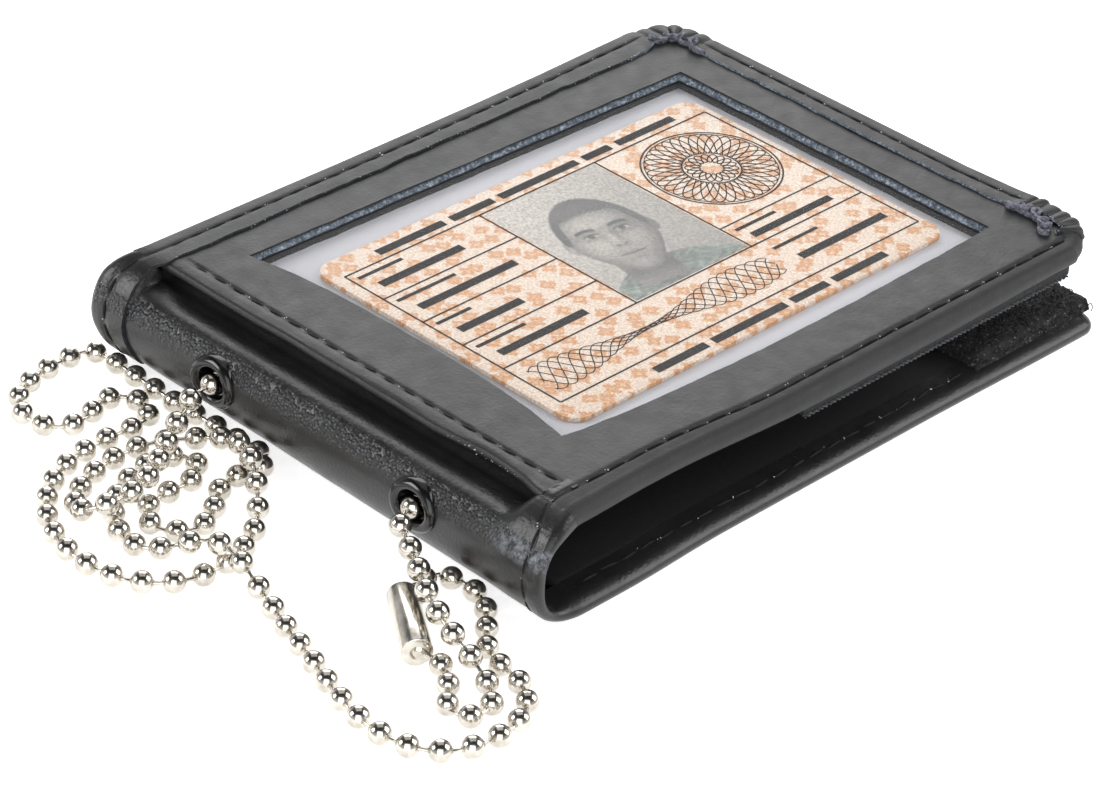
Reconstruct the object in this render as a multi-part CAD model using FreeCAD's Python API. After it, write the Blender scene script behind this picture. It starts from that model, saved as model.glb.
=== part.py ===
import FreeCAD, Part
import math
import os

# Folding id badge wallet of leather with a window pocket, a half-round spine with two eyelets
# and a neck chain of beads. Sizes in millimetres.
# Frame: +X runs from the spine to the opening edge, +Y along the spine, +Z up. The origin is
# the centre of the wallet's underside, so the wallet lies on its back cover.

Vector = FreeCAD.Vector

# Overall size
wallet_length = 123.0
wallet_width = 91.0
corner_radius = 6.0

# Thickness of each layer
leather_thick = 1.0
lining_thick = 0.5
board_thick = 1.2
liner_thick = 0.25
vinyl_thick = 0.25
panel_thick = 1.1
strip_thick = 0.5
interior_gap = 11.0

# Spine, fold and finished edges
spine_radius = 9.0
fold_width = 2.4
edge_wall = 0.8
strip_width = 4.5
roll_depth = 2.8
rim_width_far = 5.5
rim_width_near = 4.5
board_clear = 0.4

# Window, pocket and card
window_from_lip = 10.8
window_from_opening = 11.2
window_from_far = 12.2
window_from_near = 14.2
pocket_margin = 4.0
vinyl_lap = 3.0
liner_clear = 0.3
lip_overhang = 1.5
lip_round = 0.4
card_length = 85.6
card_width = 53.98
card_thick = 0.76
card_corner = 3.18
card_clear = 0.15
card_from_pocket_end = 7.7
card_shift_y = -1.1

# Touch fastener tapes
hook_length = 56.0
hook_thick = 1.5
hook_from_opening = 11.5
loop_length = 24.5
loop_thick = 2.5
loop_from_opening = 1.3
tape_from_side = 3.2

# Eyelets
eyelet_spacing = 41.8
eyelet_flange = 9.1
eyelet_flange_thick = 0.5
eyelet_bore = 5.0
eyelet_wall = 0.5
eyelet_fit = 0.05
washer_diameter = 8.4
washer_thick = 0.4
eyelet_curl = 0.3

# Stitches
stitch_pitch = 4.0
stitch_length = 2.6
stitch_width = 0.6
strip_stitch_inset = 2.3
roll_stitch_inset = 3.5
mouth_stitch_inset = 3.2
back_stitch_inset = 2.9

# Neck chain
bead_diameter = 3.2
floor_clear = 0.05
bend_share = 0.45
connector_length = 14.0
connector_diameter = 4.6
connector_wall = 0.35
connector_slit = 0.9
connector_lip = 0.5
connector_throat = 2.6
connector_x = -70.2
connector_y = -27.8
connector_heading = math.radians(234.8)

# Levels, from the table up
z_board = leather_thick
z_back_lining = z_board + board_thick
z_back_top = z_back_lining + lining_thick
z_front_bottom = z_back_top + interior_gap
z_front_leather = z_front_bottom + lining_thick
z_liner = z_front_leather + leather_thick
z_card = z_liner + liner_thick + card_clear
z_vinyl = z_card + card_thick + card_clear
z_panel = z_vinyl + vinyl_thick
z_strip = z_panel + panel_thick
z_top = z_strip + strip_thick

# Places along the length and the width
x_open = wallet_length / 2
y_side = wallet_width / 2
x_spine = -x_open + strip_thick + spine_radius
spine_upper_radius = z_liner - spine_radius
x_spine_top = x_spine - spine_radius + spine_upper_radius
x_front = x_spine_top + fold_width
x_lip = x_front - lip_overhang
x_corner = x_open - corner_radius
y_spine_end = y_side - edge_wall
y_roll = -y_side + roll_depth
rim_low_radius = spine_radius + strip_thick
rim_upper_radius = z_top - spine_radius
x_rim_centre = -x_open + rim_upper_radius
x_rim_left = -x_open - 1.0

window_x0 = x_lip + window_from_lip
window_x1 = x_open - window_from_opening
window_y0 = -y_side + window_from_near
window_y1 = y_side - window_from_far
pocket_x1 = window_x1 + pocket_margin
pocket_y0 = window_y0 - pocket_margin
pocket_y1 = window_y1 + pocket_margin

eyelet_barrel_radius = eyelet_bore / 2 + eyelet_wall
eyelet_hole_radius = eyelet_barrel_radius + eyelet_fit
spine_wall = leather_thick + lining_thick


def save(name, shape):
    """Write one sub-part to its own STEP file."""
    shape.exportStep("parts/" + name + ".step")


def block(x0, x1, y0, y1, z0, z1):
    """A box between two corners."""
    return Part.makeBox(x1 - x0, y1 - y0, z1 - z0, Vector(x0, y0, z0))


def cover_plate(x0, inset, z0, z1):
    """A plate of the cover's outline drawn in by an inset, with round opening-edge corners."""
    x1 = x_open - inset
    y1 = y_side - inset
    radius = corner_radius - inset
    lean = radius * math.sqrt(0.5)
    near = Vector(x1 - radius, -y1 + radius, z0)
    far = Vector(x1 - radius, y1 - radius, z0)
    outline = [
        Part.LineSegment(Vector(x0, -y1, z0), near - Vector(0, radius, 0)),
        Part.Arc(near - Vector(0, radius, 0), near + Vector(lean, -lean, 0), near + Vector(radius, 0, 0)),
        Part.LineSegment(near + Vector(radius, 0, 0), far + Vector(radius, 0, 0)),
        Part.Arc(far + Vector(radius, 0, 0), far + Vector(lean, lean, 0), far + Vector(0, radius, 0)),
        Part.LineSegment(far + Vector(0, radius, 0), Vector(x0, y1, z0)),
        Part.LineSegment(Vector(x0, y1, z0), Vector(x0, -y1, z0)),
    ]
    wire = Part.Wire([curve.toShape() for curve in outline])
    return Part.Face(wire).extrude(Vector(0, 0, z1 - z0))


def layer(x0, z0, z1):
    """One inner layer of a cover: inside the edge strip and clear of the near roll."""
    near_roll = block(x0 - 1, x_corner, -y_side - 1, y_roll, z0 - 1, z1 + 1)
    return cover_plate(x0, edge_wall, z0, z1).cut(near_roll)


def edge_band(x0, width, z0, z1):
    """A band along the far and opening edges, round both corners of the opening edge."""
    band = cover_plate(x0, 0, z0, z1).cut(cover_plate(x0 - 1, width, z0 - 1, z1 + 1))
    return band.cut(block(x0 - 1, x_corner, -y_side - 1, 0, z0 - 1, z1 + 1))


def near_roll(x0, z0, z1):
    """The rolled leather edge on the near side: a bar with a half-round outer face."""
    half = (z1 - z0) / 2
    y_round = -y_side + half
    section = [
        Part.LineSegment(Vector(x0, y_roll, z0), Vector(x0, y_round, z0)),
        Part.Arc(Vector(x0, y_round, z0), Vector(x0, -y_side, z0 + half), Vector(x0, y_round, z1)),
        Part.LineSegment(Vector(x0, y_round, z1), Vector(x0, y_roll, z1)),
        Part.LineSegment(Vector(x0, y_roll, z1), Vector(x0, y_roll, z0)),
    ]
    wire = Part.Wire([curve.toShape() for curve in section])
    return Part.Face(wire).extrude(Vector(x_corner - x0, 0, 0))


def bend_arcs(centre_x, low_radius, upper_centre_x, upper_radius, y):
    """The two quarter arcs of a bent sheet, from the underside round to the top."""
    low_lean = low_radius * math.sqrt(0.5)
    upper_lean = upper_radius * math.sqrt(0.5)
    bottom = Vector(centre_x, y, spine_radius - low_radius)
    low_middle = Vector(centre_x - low_lean, y, spine_radius - low_lean)
    outer = Vector(centre_x - low_radius, y, spine_radius)
    upper_middle = Vector(upper_centre_x - upper_lean, y, spine_radius + upper_lean)
    top = Vector(upper_centre_x, y, spine_radius + upper_radius)
    return [Part.Arc(bottom, low_middle, outer), Part.Arc(outer, upper_middle, top)]


def bent_sheet(outer_arcs, inner_arcs, y_length):
    """A solid between two bends, with straight ends, drawn out along the spine."""
    ends = [
        Part.LineSegment(outer_arcs[0].StartPoint, inner_arcs[0].StartPoint),
        Part.LineSegment(outer_arcs[1].EndPoint, inner_arcs[1].EndPoint),
    ]
    edges = [curve.toShape() for curve in outer_arcs + inner_arcs + ends]
    wire = Part.Wire(Part.__sortEdges__(edges))
    return Part.Face(wire).extrude(Vector(0, y_length, 0))


def spine_arcs(depth, y):
    """The spine's bend at a depth under the leather's outer face."""
    return bend_arcs(x_spine, spine_radius - depth, x_spine_top, spine_upper_radius - depth, y)


def spine_shell(depth, thick, y0, y1):
    """One layer of the spine."""
    return bent_sheet(spine_arcs(depth, y0), spine_arcs(depth + thick, y0), y1 - y0)


def rim_shell(depth, y0, y1):
    """The rim over a spine end, from its outer face down to a depth under the leather's face."""
    outer = bend_arcs(x_spine, rim_low_radius, x_rim_centre, rim_upper_radius, y0)
    inner = spine_arcs(depth, y0)
    return bent_sheet(outer, inner, y1 - y0)


def spine_rim(y_outer, y_inner, y_wall):
    """A spine end's rim: the cover over the leather and the wall that closes the layers' ends."""
    y0, y1 = sorted((y_inner, y_outer))
    wall_y0, wall_y1 = sorted((y_wall, y_outer))
    rim = rim_shell(0, y0, y1).fuse(rim_shell(spine_wall, wall_y0, wall_y1))
    return rim.common(block(x_rim_left, x_spine_top, y0, y1, 0, z_top)).removeSplitter()


def fold_rim(y_outer, y_inner, y_wall):
    """The part of an end's rim that bends when the cover opens."""
    y0, y1 = sorted((y_inner, y_outer))
    wall_y0, wall_y1 = sorted((y_wall, y_outer))
    crown_start = Vector(x_rim_centre, y0, spine_radius)
    crown = Part.makeCylinder(rim_upper_radius, y1 - y0, crown_start, Vector(0, 1, 0))
    upper = block(x_spine_top, x_front, y0, y1, z_liner, z_top).common(crown)
    wall = block(x_spine_top, x_front, wall_y0, wall_y1, z_front_bottom, z_liner)
    return upper.fuse(wall).removeSplitter()


def cross_cylinder(radius, y):
    """A cylinder through the spine on an eyelet's axis."""
    return Part.makeCylinder(radius, 2 * spine_radius, Vector(x_rim_left, y, spine_radius), Vector(1, 0, 0))


def eyelet(y):
    """An eyelet: a flange that follows the spine and a barrel through leather, lining and washer."""
    y0 = y - eyelet_flange
    y1 = y + eyelet_flange
    flange = spine_shell(-eyelet_flange_thick, eyelet_flange_thick, y0, y1)
    flange = flange.common(cross_cylinder(eyelet_flange / 2, y))
    face = Vector(x_spine - spine_radius - eyelet_flange_thick, y, spine_radius)
    barrel_length = eyelet_flange_thick + spine_wall + washer_thick + eyelet_curl
    barrel = Part.makeCylinder(eyelet_barrel_radius, barrel_length, face, Vector(1, 0, 0))
    return flange.fuse(barrel).cut(cross_cylinder(eyelet_bore / 2, y)).removeSplitter()


def eyelet_washer(y):
    """The washer that the eyelet's barrel is set over, inside the lining."""
    ring = spine_shell(spine_wall, washer_thick, y - washer_diameter, y + washer_diameter)
    ring = ring.common(cross_cylinder(washer_diameter / 2, y))
    return ring.cut(cross_cylinder(eyelet_hole_radius, y))


def stitch_row(start, end):
    """A row of half-round thread stitches that lie on a level face between two points."""
    along = (end - start).normalize()
    aside = Vector(0, 0, 1).cross(along)
    half = stitch_width / 2
    count = int((end - start).Length // stitch_pitch)
    lead = ((end - start).Length - (count - 1) * stitch_pitch - stitch_length) / 2
    stitches = []
    for number in range(count):
        foot = start + along * (lead + number * stitch_pitch)
        left = foot - aside * half
        right = foot + aside * half
        crown = foot + Vector(0, 0, half)
        section = [Part.Arc(left, crown, right).toShape(), Part.LineSegment(right, left).toShape()]
        stitches.append(Part.Face(Part.Wire(section)).extrude(along * stitch_length))
    return stitches


def route_wire(points):
    """Straight runs joined by tangent arcs, each as large as its two runs allow."""
    edges = []
    radii = []
    start = points[0]
    for before, corner, after in zip(points, points[1:], points[2:]):
        run_in = corner - before
        run_out = after - corner
        half_turn = run_in.getAngle(run_out) / 2
        reach = bend_share * min(run_in.Length, run_out.Length)
        radius = reach / math.tan(half_turn)
        way_in = Vector(run_in).normalize()
        way_out = Vector(run_out).normalize()
        inward = (way_out - way_in).normalize()
        arc_start = corner - way_in * reach
        arc_end = corner + way_out * reach
        arc_middle = corner + inward * (radius / math.cos(half_turn) - radius)
        edges.append(Part.LineSegment(start, arc_start).toShape())
        edges.append(Part.Arc(arc_start, arc_middle, arc_end).toShape())
        radii.append(radius)
        start = arc_end
    edges.append(Part.LineSegment(start, points[-1]).toShape())
    return Part.Wire(edges), radii


def chain_tube(name, route):
    """A stretch of the chain as a tube of the beads' diameter along its route."""
    points = [Vector(*point) for point in route]
    wire, radii = route_wire(points)
    section = Part.Circle(points[0], points[1] - points[0], bead_diameter / 2).toShape()
    tube = wire.makePipeShell([Part.Wire([section])], True, False)
    ideal = math.pi * bead_diameter ** 2 / 4 * wire.Length
    print(name, "length", round(wire.Length, 1), "volume ratio", round(tube.Volume / ideal, 4))
    print(name, "radii", [round(radius, 1) for radius in radii])
    return tube


def connector_point(distance):
    """A point on the connector's axis, at a distance from the end that the long run comes to."""
    x = connector_x + distance * math.cos(connector_heading)
    y = connector_y + distance * math.sin(connector_heading)
    return (x, y, connector_diameter / 2 + floor_clear)


# Back cover
def make_back_leather():
    """The back cover's leather, stepped at its edges so that strip and roll lie flush under it."""
    upper = layer(x_spine, strip_thick, z_board)
    lower = cover_plate(x_spine, strip_width, 0, strip_thick)
    return upper.fuse(lower).removeSplitter()


def make_back_board():
    """The stiffening board between leather and lining."""
    return layer(x_spine + board_clear, z_board, z_back_lining)


def make_back_lining():
    """The inner lining of the back cover."""
    return layer(x_spine + board_clear, z_back_lining, z_back_top)


def make_back_edge_strip():
    """The turned leather strip: a wall round the edge with a flange under the cover."""
    wall = edge_band(x_spine, edge_wall, strip_thick, z_back_top)
    flange = edge_band(x_spine, strip_width, 0, strip_thick)
    return wall.fuse(flange).removeSplitter()


def make_back_near_roll():
    """The rolled near edge of the back cover, with its turned margin under the cover."""
    margin = block(x_spine, x_corner, y_roll, -y_side + strip_width, 0, strip_thick)
    return near_roll(x_spine, 0, z_back_top).fuse(margin).removeSplitter()


def make_back_stitching():
    """Thread along the far and near edges of the back cover, on its inner face."""
    x_start = x_spine + stitch_pitch
    x_end = x_open - corner_radius
    y_far = y_side - back_stitch_inset
    y_near = y_roll + stitch_width
    rows = stitch_row(Vector(x_start, y_far, z_back_top), Vector(x_end, y_far, z_back_top))
    rows += stitch_row(Vector(x_start, y_near, z_back_top), Vector(x_end, y_near, z_back_top))
    return Part.makeCompound(rows)


def make_loop_tape():
    """The soft tape along the opening edge of the back cover's inner face."""
    x1 = x_open - loop_from_opening
    y_end = y_side - corner_radius
    return block(x1 - loop_length, x1, -y_end, y_end, z_back_top, z_back_top + loop_thick)


# Spine
def make_spine_leather():
    """The bent spine leather with a hole for each eyelet."""
    sheet = spine_shell(0, leather_thick, -y_spine_end, y_spine_end)
    for y in eyelet_places:
        sheet = sheet.cut(cross_cylinder(eyelet_hole_radius, y))
    return sheet


def make_spine_lining():
    """The lining inside the spine leather with a hole for each eyelet."""
    sheet = spine_shell(leather_thick, lining_thick, -y_spine_end, y_spine_end)
    for y in eyelet_places:
        sheet = sheet.cut(cross_cylinder(eyelet_hole_radius, y))
    return sheet


def make_cover_fold():
    """The leather that bends when the cover opens: the sheet under the pocket and both end rims."""
    sheet = block(x_spine_top, x_front, -y_spine_end, y_spine_end, z_front_bottom, z_liner)
    far = fold_rim(y_side, y_side - rim_width_far, y_spine_end)
    near = fold_rim(-y_side, -y_side + rim_width_near, -y_spine_end)
    return Part.makeCompound([sheet, far, near])


# Front cover
def make_front_lining():
    """The inner lining of the front cover."""
    return layer(x_front, z_front_bottom, z_front_leather)


def make_front_leather():
    """The leather behind the pocket, which runs on into the spine."""
    return layer(x_front, z_front_leather, z_liner)


def make_pocket_liner():
    """The grey sheet that shows round the card."""
    return block(x_front, pocket_x1 - liner_clear, pocket_y0 + liner_clear, pocket_y1 - liner_clear,
                 z_liner, z_liner + liner_thick)


def make_window_panel():
    """The leather panel with its window, sewn down on three sides and open at the mouth."""
    y_mouth0 = -y_side + rim_width_near
    y_mouth1 = y_side - rim_width_far
    sheet = layer(x_front, z_panel, z_strip)
    lip = block(x_lip, x_front, y_mouth0, y_mouth1, z_panel, z_strip)
    outer_edges = [edge for edge in lip.Edges if edge.BoundBox.XMax < x_lip + lip_round]
    lip = lip.makeFillet(lip_round, [edge for edge in outer_edges if edge.Length > 2 * panel_thick])
    seat = layer(x_front, z_liner, z_panel)
    seat = seat.cut(block(x_front - 1, pocket_x1, pocket_y0, pocket_y1, z_liner - 1, z_panel + 1))
    window = block(window_x0, window_x1, window_y0, window_y1, z_panel - 1, z_strip + 1)
    return sheet.fuse(lip).fuse(seat).cut(window).removeSplitter()


def make_window_vinyl():
    """The clear sheet under the window."""
    x0 = window_x0 - vinyl_lap
    x1 = window_x1 + vinyl_lap
    return block(x0, x1, window_y0 - vinyl_lap, window_y1 + vinyl_lap, z_vinyl, z_panel)


def make_front_edge_strip():
    """The turned leather strip: a wall round the edge with a flange over the panel."""
    wall = edge_band(x_front, edge_wall, z_front_bottom, z_strip)
    flange = edge_band(x_front, strip_width, z_strip, z_top)
    return wall.fuse(flange).removeSplitter()


def make_front_stitching():
    """Thread along the three open edges of the front cover."""
    x_start = x_front + stitch_pitch
    y_far = y_side - strip_stitch_inset
    y_near = -y_side + roll_stitch_inset
    x_row = x_open - strip_stitch_inset
    y_end = y_side - corner_radius
    rows = stitch_row(Vector(x_start, y_far, z_top), Vector(x_corner, y_far, z_top))
    rows += stitch_row(Vector(x_row, y_end, z_top), Vector(x_row, -y_end, z_top))
    rows += stitch_row(Vector(x_start, y_near, z_strip), Vector(x_corner, y_near, z_strip))
    return Part.makeCompound(rows)


def make_mouth_stitching():
    """Thread along the hem of the pocket's mouth."""
    x_row = x_lip + mouth_stitch_inset
    row = stitch_row(Vector(x_row, pocket_y0, z_strip), Vector(x_row, pocket_y1, z_strip))
    return Part.makeCompound(row)


def make_hook_tape():
    """The stiff tape on the front cover's inner face."""
    x1 = x_open - hook_from_opening
    y_end = y_side - tape_from_side
    return block(x1 - hook_length, x1, -y_end, y_end, z_front_bottom - hook_thick, z_front_bottom)


def make_id_card():
    """The card in the pocket, with round corners."""
    x0 = pocket_x1 - card_from_pocket_end - card_length
    y0 = card_shift_y - card_width / 2
    card = block(x0, x0 + card_length, y0, y0 + card_width, z_card, z_card + card_thick)
    upright = [edge for edge in card.Edges if abs(edge.tangentAt(edge.FirstParameter).z) > 0.5]
    return card.makeFillet(card_corner, upright)


# Neck chain
def make_chain_connector():
    """The hollow barrel that joins the chain's two ends, slit along its side."""
    start = Vector(*connector_point(0))
    along = (Vector(*connector_point(connector_length)) - start).normalize()
    outer = Part.makeCylinder(connector_diameter / 2, connector_length, start, along)
    bore_radius = connector_diameter / 2 - connector_wall
    bore_length = connector_length - 2 * connector_lip
    bore = Part.makeCylinder(bore_radius, bore_length, start + along * connector_lip, along)
    throat = Part.makeCylinder(connector_throat / 2, connector_length, start, along)
    half_slit = connector_slit / 2
    slit = block(-half_slit, half_slit, 0, connector_diameter, 0, connector_length)
    turn = FreeCAD.Rotation(Vector(0, 0, 1), along)
    slit = slit.transformed(FreeCAD.Placement(start, turn).toMatrix())
    return outer.cut(bore).cut(throat).cut(slit)


eyelet_places = (eyelet_spacing / 2, -eyelet_spacing / 2)
y_eye = eyelet_spacing / 2
z_eye = spine_radius
x_eye = x_spine - spine_radius
z_bead = bead_diameter / 2 + floor_clear
z_over = 5.6

# From the far eyelet over the pile, once round the pile, then round the loop at the far end
far_route = [
    (x_eye + 2.0, y_eye, z_eye),
    (x_eye - 3.6, y_eye, z_eye),
    (x_eye - 6.2, y_eye - 0.4, 7.0),
    (-71.8, 18.6, 5.9),
    (-77.6, 14.8, z_over),
    (-83.6, 11.8, z_over),
    (-89.0, 11.4, z_over),
    (-92.0, 13.6, 4.4),
    (-90.6, 17.8, 2.1),
    (-86.8, 21.4, z_bead),
    (-81.8, 23.6, z_bead),
    (-76.0, 24.6, z_bead),
    (-70.2, 23.8, z_bead),
    (-66.0, 20.6, 2.0),
    (-64.4, 15.8, 3.9),
    (-64.8, 11.6, z_over),
    (-66.6, 6.8, z_over),
    (-69.6, 2.2, 3.0),
    (-73.6, -2.0, z_bead),
    (-79.0, -5.0, z_bead),
    (-85.8, -6.4, z_bead),
    (-92.0, -4.6, z_bead),
    (-96.4, 0.2, z_bead),
    (-98.0, 6.8, z_bead),
    (-97.2, 13.6, z_bead),
    (-94.2, 20.0, z_bead),
    (-89.0, 25.2, z_bead),
    (-82.4, 28.2, z_bead),
    (-75.0, 29.0, z_bead),
    (-68.6, 28.2, z_bead),
    (-64.8, 30.6, z_bead),
    (-64.9, 35.2, z_bead),
    (-68.2, 37.4, z_bead),
    (-72.2, 35.4, z_bead),
    (-76.4, 34.4, z_bead),
    (-79.8, 37.0, z_bead),
    (-80.4, 41.8, z_bead),
    (-77.4, 46.2, z_bead),
    (-72.0, 48.6, z_bead),
    (-66.4, 48.8, z_bead),
    (-62.4, 46.2, z_bead),
    (-61.3, 41.4, z_bead),
    (-61.1, 38.9, z_bead),
]

# Along the foot of the spine, round the middle of the pile, down the long run to the connector
middle_route = [
    far_route[-1],
    (-60.9, 36.4, z_bead),
    (-61.1, 29.4, z_bead),
    (-60.8, 22.2, z_bead),
    (-61.0, 15.2, z_bead),
    (-62.6, 10.6, z_bead),
    (-67.2, 9.6, z_bead),
    (-71.6, 8.6, z_bead),
    (-75.0, 5.4, z_bead),
    (-79.0, 2.8, z_bead),
    (-83.2, 4.2, z_bead),
    (-85.0, 8.0, z_bead),
    (-82.8, 11.8, z_bead),
    (-78.2, 12.8, z_bead),
    (-73.0, 12.4, z_bead),
    (-69.2, 14.8, z_bead),
    (-69.4, 18.8, z_bead),
    (-73.4, 20.4, z_bead),
    (-79.0, 19.2, z_bead),
    (-84.0, 16.6, z_bead),
    (-88.0, 12.4, z_bead),
    (-90.2, 7.2, z_bead),
    (-89.4, 2.2, 2.4),
    (-86.2, -2.0, 4.8),
    (-84.2, -4.6, z_over),
    (-83.6, -8.6, 5.0),
    (-84.0, -13.6, 2.2),
    (-85.6, -19.0, z_bead),
    (-87.6, -24.2, z_bead),
    (-89.0, -29.4, z_bead),
    (-91.2, -35.0, z_bead),
    (-93.0, -41.0, z_bead),
    (-94.0, -47.2, z_bead),
    (-93.0, -53.2, z_bead),
    (-89.2, -57.6, z_bead),
    (-83.8, -59.2, z_bead),
    (-78.2, -58.8, z_bead),
    (-73.6, -56.2, z_bead),
    (-71.2, -51.6, z_bead),
    (-71.0, -46.8, z_bead),
    (-68.8, -42.6, z_bead),
    (-64.8, -39.4, z_bead),
    (-61.6, -35.2, z_bead),
    (-60.9, -30.2, z_bead),
    (-63.0, -26.0, z_bead),
    connector_point(-4.2),
    connector_point(0),
]

# From the connector round the near loop and up to the near eyelet
near_route = [
    connector_point(connector_length),
    connector_point(connector_length + 3.0),
    (-82.6, -45.6, z_bead),
    (-83.2, -50.4, z_bead),
    (-80.2, -54.0, z_bead),
    (-76.4, -52.2, z_bead),
    (-75.4, -47.6, z_bead),
    (-74.4, -43.2, 2.2),
    (-73.4, -39.2, 4.2),
    (-72.2, -34.8, 6.4),
    (-69.2, -30.0, 7.2),
    (-66.2, -25.0, 7.9),
    (x_eye - 3.4, -y_eye, z_eye),
    (x_eye + 2.0, -y_eye, z_eye),
]

# Inside the spine from the near eyelet to the far one
inner_route = [
    near_route[-1],
    (x_eye + 4.8, -y_eye, z_eye),
    (-53.8, -18.0, 7.4),
    (-52.4, -10.4, 4.9),
    (-53.2, 0.6, 4.4),
    (-52.5, 10.8, 4.9),
    (-53.8, 18.0, 7.4),
    (x_eye + 4.8, y_eye, z_eye),
    far_route[0],
]

os.makedirs("parts", exist_ok=True)
save("back_leather", make_back_leather())
save("back_board", make_back_board())
save("back_lining", make_back_lining())
save("back_edge_strip", make_back_edge_strip())
save("back_near_roll", make_back_near_roll())
save("back_stitching", make_back_stitching())
save("loop_tape", make_loop_tape())
save("spine_leather", make_spine_leather())
save("spine_lining", make_spine_lining())
save("spine_rim_far", spine_rim(y_side, y_side - rim_width_far, y_spine_end))
save("spine_rim_near", spine_rim(-y_side, -y_side + rim_width_near, -y_spine_end))
for side, y_place in zip(("far", "near"), eyelet_places):
    save("eyelet_" + side, eyelet(y_place))
    save("eyelet_washer_" + side, eyelet_washer(y_place))
save("cover_fold", make_cover_fold())
save("front_lining", make_front_lining())
save("front_leather", make_front_leather())
save("pocket_liner", make_pocket_liner())
save("window_panel", make_window_panel())
save("window_vinyl", make_window_vinyl())
save("front_edge_strip", make_front_edge_strip())
save("front_near_roll", near_roll(x_front, z_front_bottom, z_strip))
save("front_stitching", make_front_stitching())
save("mouth_stitching", make_mouth_stitching())
save("hook_tape", make_hook_tape())
save("id_card", make_id_card())
save("chain_connector", make_chain_connector())
save("chain_far_strand", chain_tube("chain_far_strand", far_route))
save("chain_middle_strand", chain_tube("chain_middle_strand", middle_route))
save("chain_near_strand", chain_tube("chain_near_strand", near_route))
save("chain_inner_strand", chain_tube("chain_inner_strand", inner_route))
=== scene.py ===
import math

import bpy
import numpy as np
from mathutils import Matrix, Vector


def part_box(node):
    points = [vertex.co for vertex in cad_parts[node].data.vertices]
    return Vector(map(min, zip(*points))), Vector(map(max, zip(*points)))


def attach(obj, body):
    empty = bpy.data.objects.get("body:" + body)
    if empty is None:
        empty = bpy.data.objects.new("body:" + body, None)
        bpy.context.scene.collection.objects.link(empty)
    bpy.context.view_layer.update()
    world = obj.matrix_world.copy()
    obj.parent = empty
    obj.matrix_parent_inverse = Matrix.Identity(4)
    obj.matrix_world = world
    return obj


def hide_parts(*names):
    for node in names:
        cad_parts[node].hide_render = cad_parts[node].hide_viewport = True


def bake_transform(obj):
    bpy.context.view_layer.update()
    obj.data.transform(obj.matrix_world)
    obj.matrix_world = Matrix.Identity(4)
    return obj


# Folding id badge wallet: leather covers, window pocket with a card, eyelets and a beaded neck chain.
# Sizes are in millimetres until a mesh is made. +X runs from the spine to the opening edge, +Y along
# the spine, +Z up, and the wallet lies on its back cover.

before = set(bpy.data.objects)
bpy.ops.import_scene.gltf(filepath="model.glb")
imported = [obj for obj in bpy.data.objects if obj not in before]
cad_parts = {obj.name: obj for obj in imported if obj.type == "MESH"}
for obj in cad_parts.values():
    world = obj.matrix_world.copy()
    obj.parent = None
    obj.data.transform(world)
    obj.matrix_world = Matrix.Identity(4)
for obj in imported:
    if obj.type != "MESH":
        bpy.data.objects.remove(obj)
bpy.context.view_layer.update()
bpy.ops.object.select_all(action="DESELECT")

MM = 0.001


def solid_box(node):
    """The lowest and the highest corner of a solid in millimetres, to a hundredth."""
    return [[round(value / MM, 2) for value in corner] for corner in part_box(node)]


# Front cover: its outer edge, corner and levels
EDGE_X, EDGE_Y, STRIP_TOP = solid_box("front_edge_strip")[1]
CORNER = 6.0
PANEL_TOP = solid_box("window_panel")[1][2]
FRONT_BOTTOM = solid_box("front_lining")[0][2]
# Back cover: it reaches a little further than the front one, with tighter corners
BACK_EDGE_X = 63.3
BACK_CORNER = 3.2
BACK_START_X = -51.5
BACK_TOP = solid_box("back_lining")[1][2]
BACK_WALL = BACK_TOP + 0.06
# Spine: its axis, the round of its upper half and the angles where its rims meet the front cover
SPINE_X = solid_box("back_leather")[0][0]
SPINE_Z = sum(corner[2] for corner in solid_box("eyelet_far")) / 2
SPINE_ROUND = 6.2
NEAR_RIM_TOP = 104.1
FAR_RIM_TOP = 106.5
FOLD_X0 = solid_box("cover_fold")[0][0]
FOLD_X1 = solid_box("cover_fold")[1][0]
# Eyelets: their places along the spine, the face they sit on and the hole under each
EYELET_FAR = 21.7
EYELET_NEAR = -20.1
EYELET_X = -61.05
EYELET_HOLE = 3.2
# Stitch grooves: insets from the edges, the near one's skew towards the spine and its depth
STITCH_PITCH = 4.0
STRIP_GROOVE = 2.9
FAR_RIM_GROOVE = 3.3
NEAR_GROOVE = 3.3
GROOVE_SKEW = 1.8
NEAR_DROP = 0.34
# Turned strip: the rounds of its top and foot, its pleats, and its stations over the fold's bend
STRIP_ROUND = 1.0
FOOT_ROUND = 0.9
PLEAT = 3.1
NEAR_PLEAT = 2.3
BEND_STATIONS = 8
# Window panel: corners of the cut (near and far at the spine, then near and far at the opening), the grid
# that is cut away, the pocket mouth's hem and stitches, and the panel's round under the strip
WINDOW_CORNERS = ((-42.4, -30.3), (-42.9, 34.0), (49.5, -32.4), (49.25, 32.05))
WINDOW_X0 = -42.6
WINDOW_X1 = 49.4
WINDOW_COLUMNS = 120
WINDOW_ROWS = 84
HEM_X = -50.3
MOUTH_STITCH_X = -50.7
PANEL_CORNER = 5.0
# Tapes: x and y from and to, the hooks' face and spacing, and the round of the pad's near corner
HOOK_TAPE = (-6.0, 55.6, -44.1, 42.3)
HOOK_FACE = 12.4
HOOK_PITCH = 2.2
LOOP_TAPE = (36.0, 64.4, -43.4, 40.6)
PAD_CORNER = 3.6
# Card: the level of its print, and two opposite corners of the portrait
INK_LEVEL = 16.385
PORTRAIT = (-6.0, -10.6, 18.6, 21.9)
# Neck chain: bead and spacing, the bead as it looks, and the turn that hides the barrel's slit
BEAD = 3.2
BEAD_LOOK = 3.42
BEAD_PITCH = 4.45
SLIT_TURN = 5.3
dice = np.random.default_rng(7)


# Materials

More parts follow.
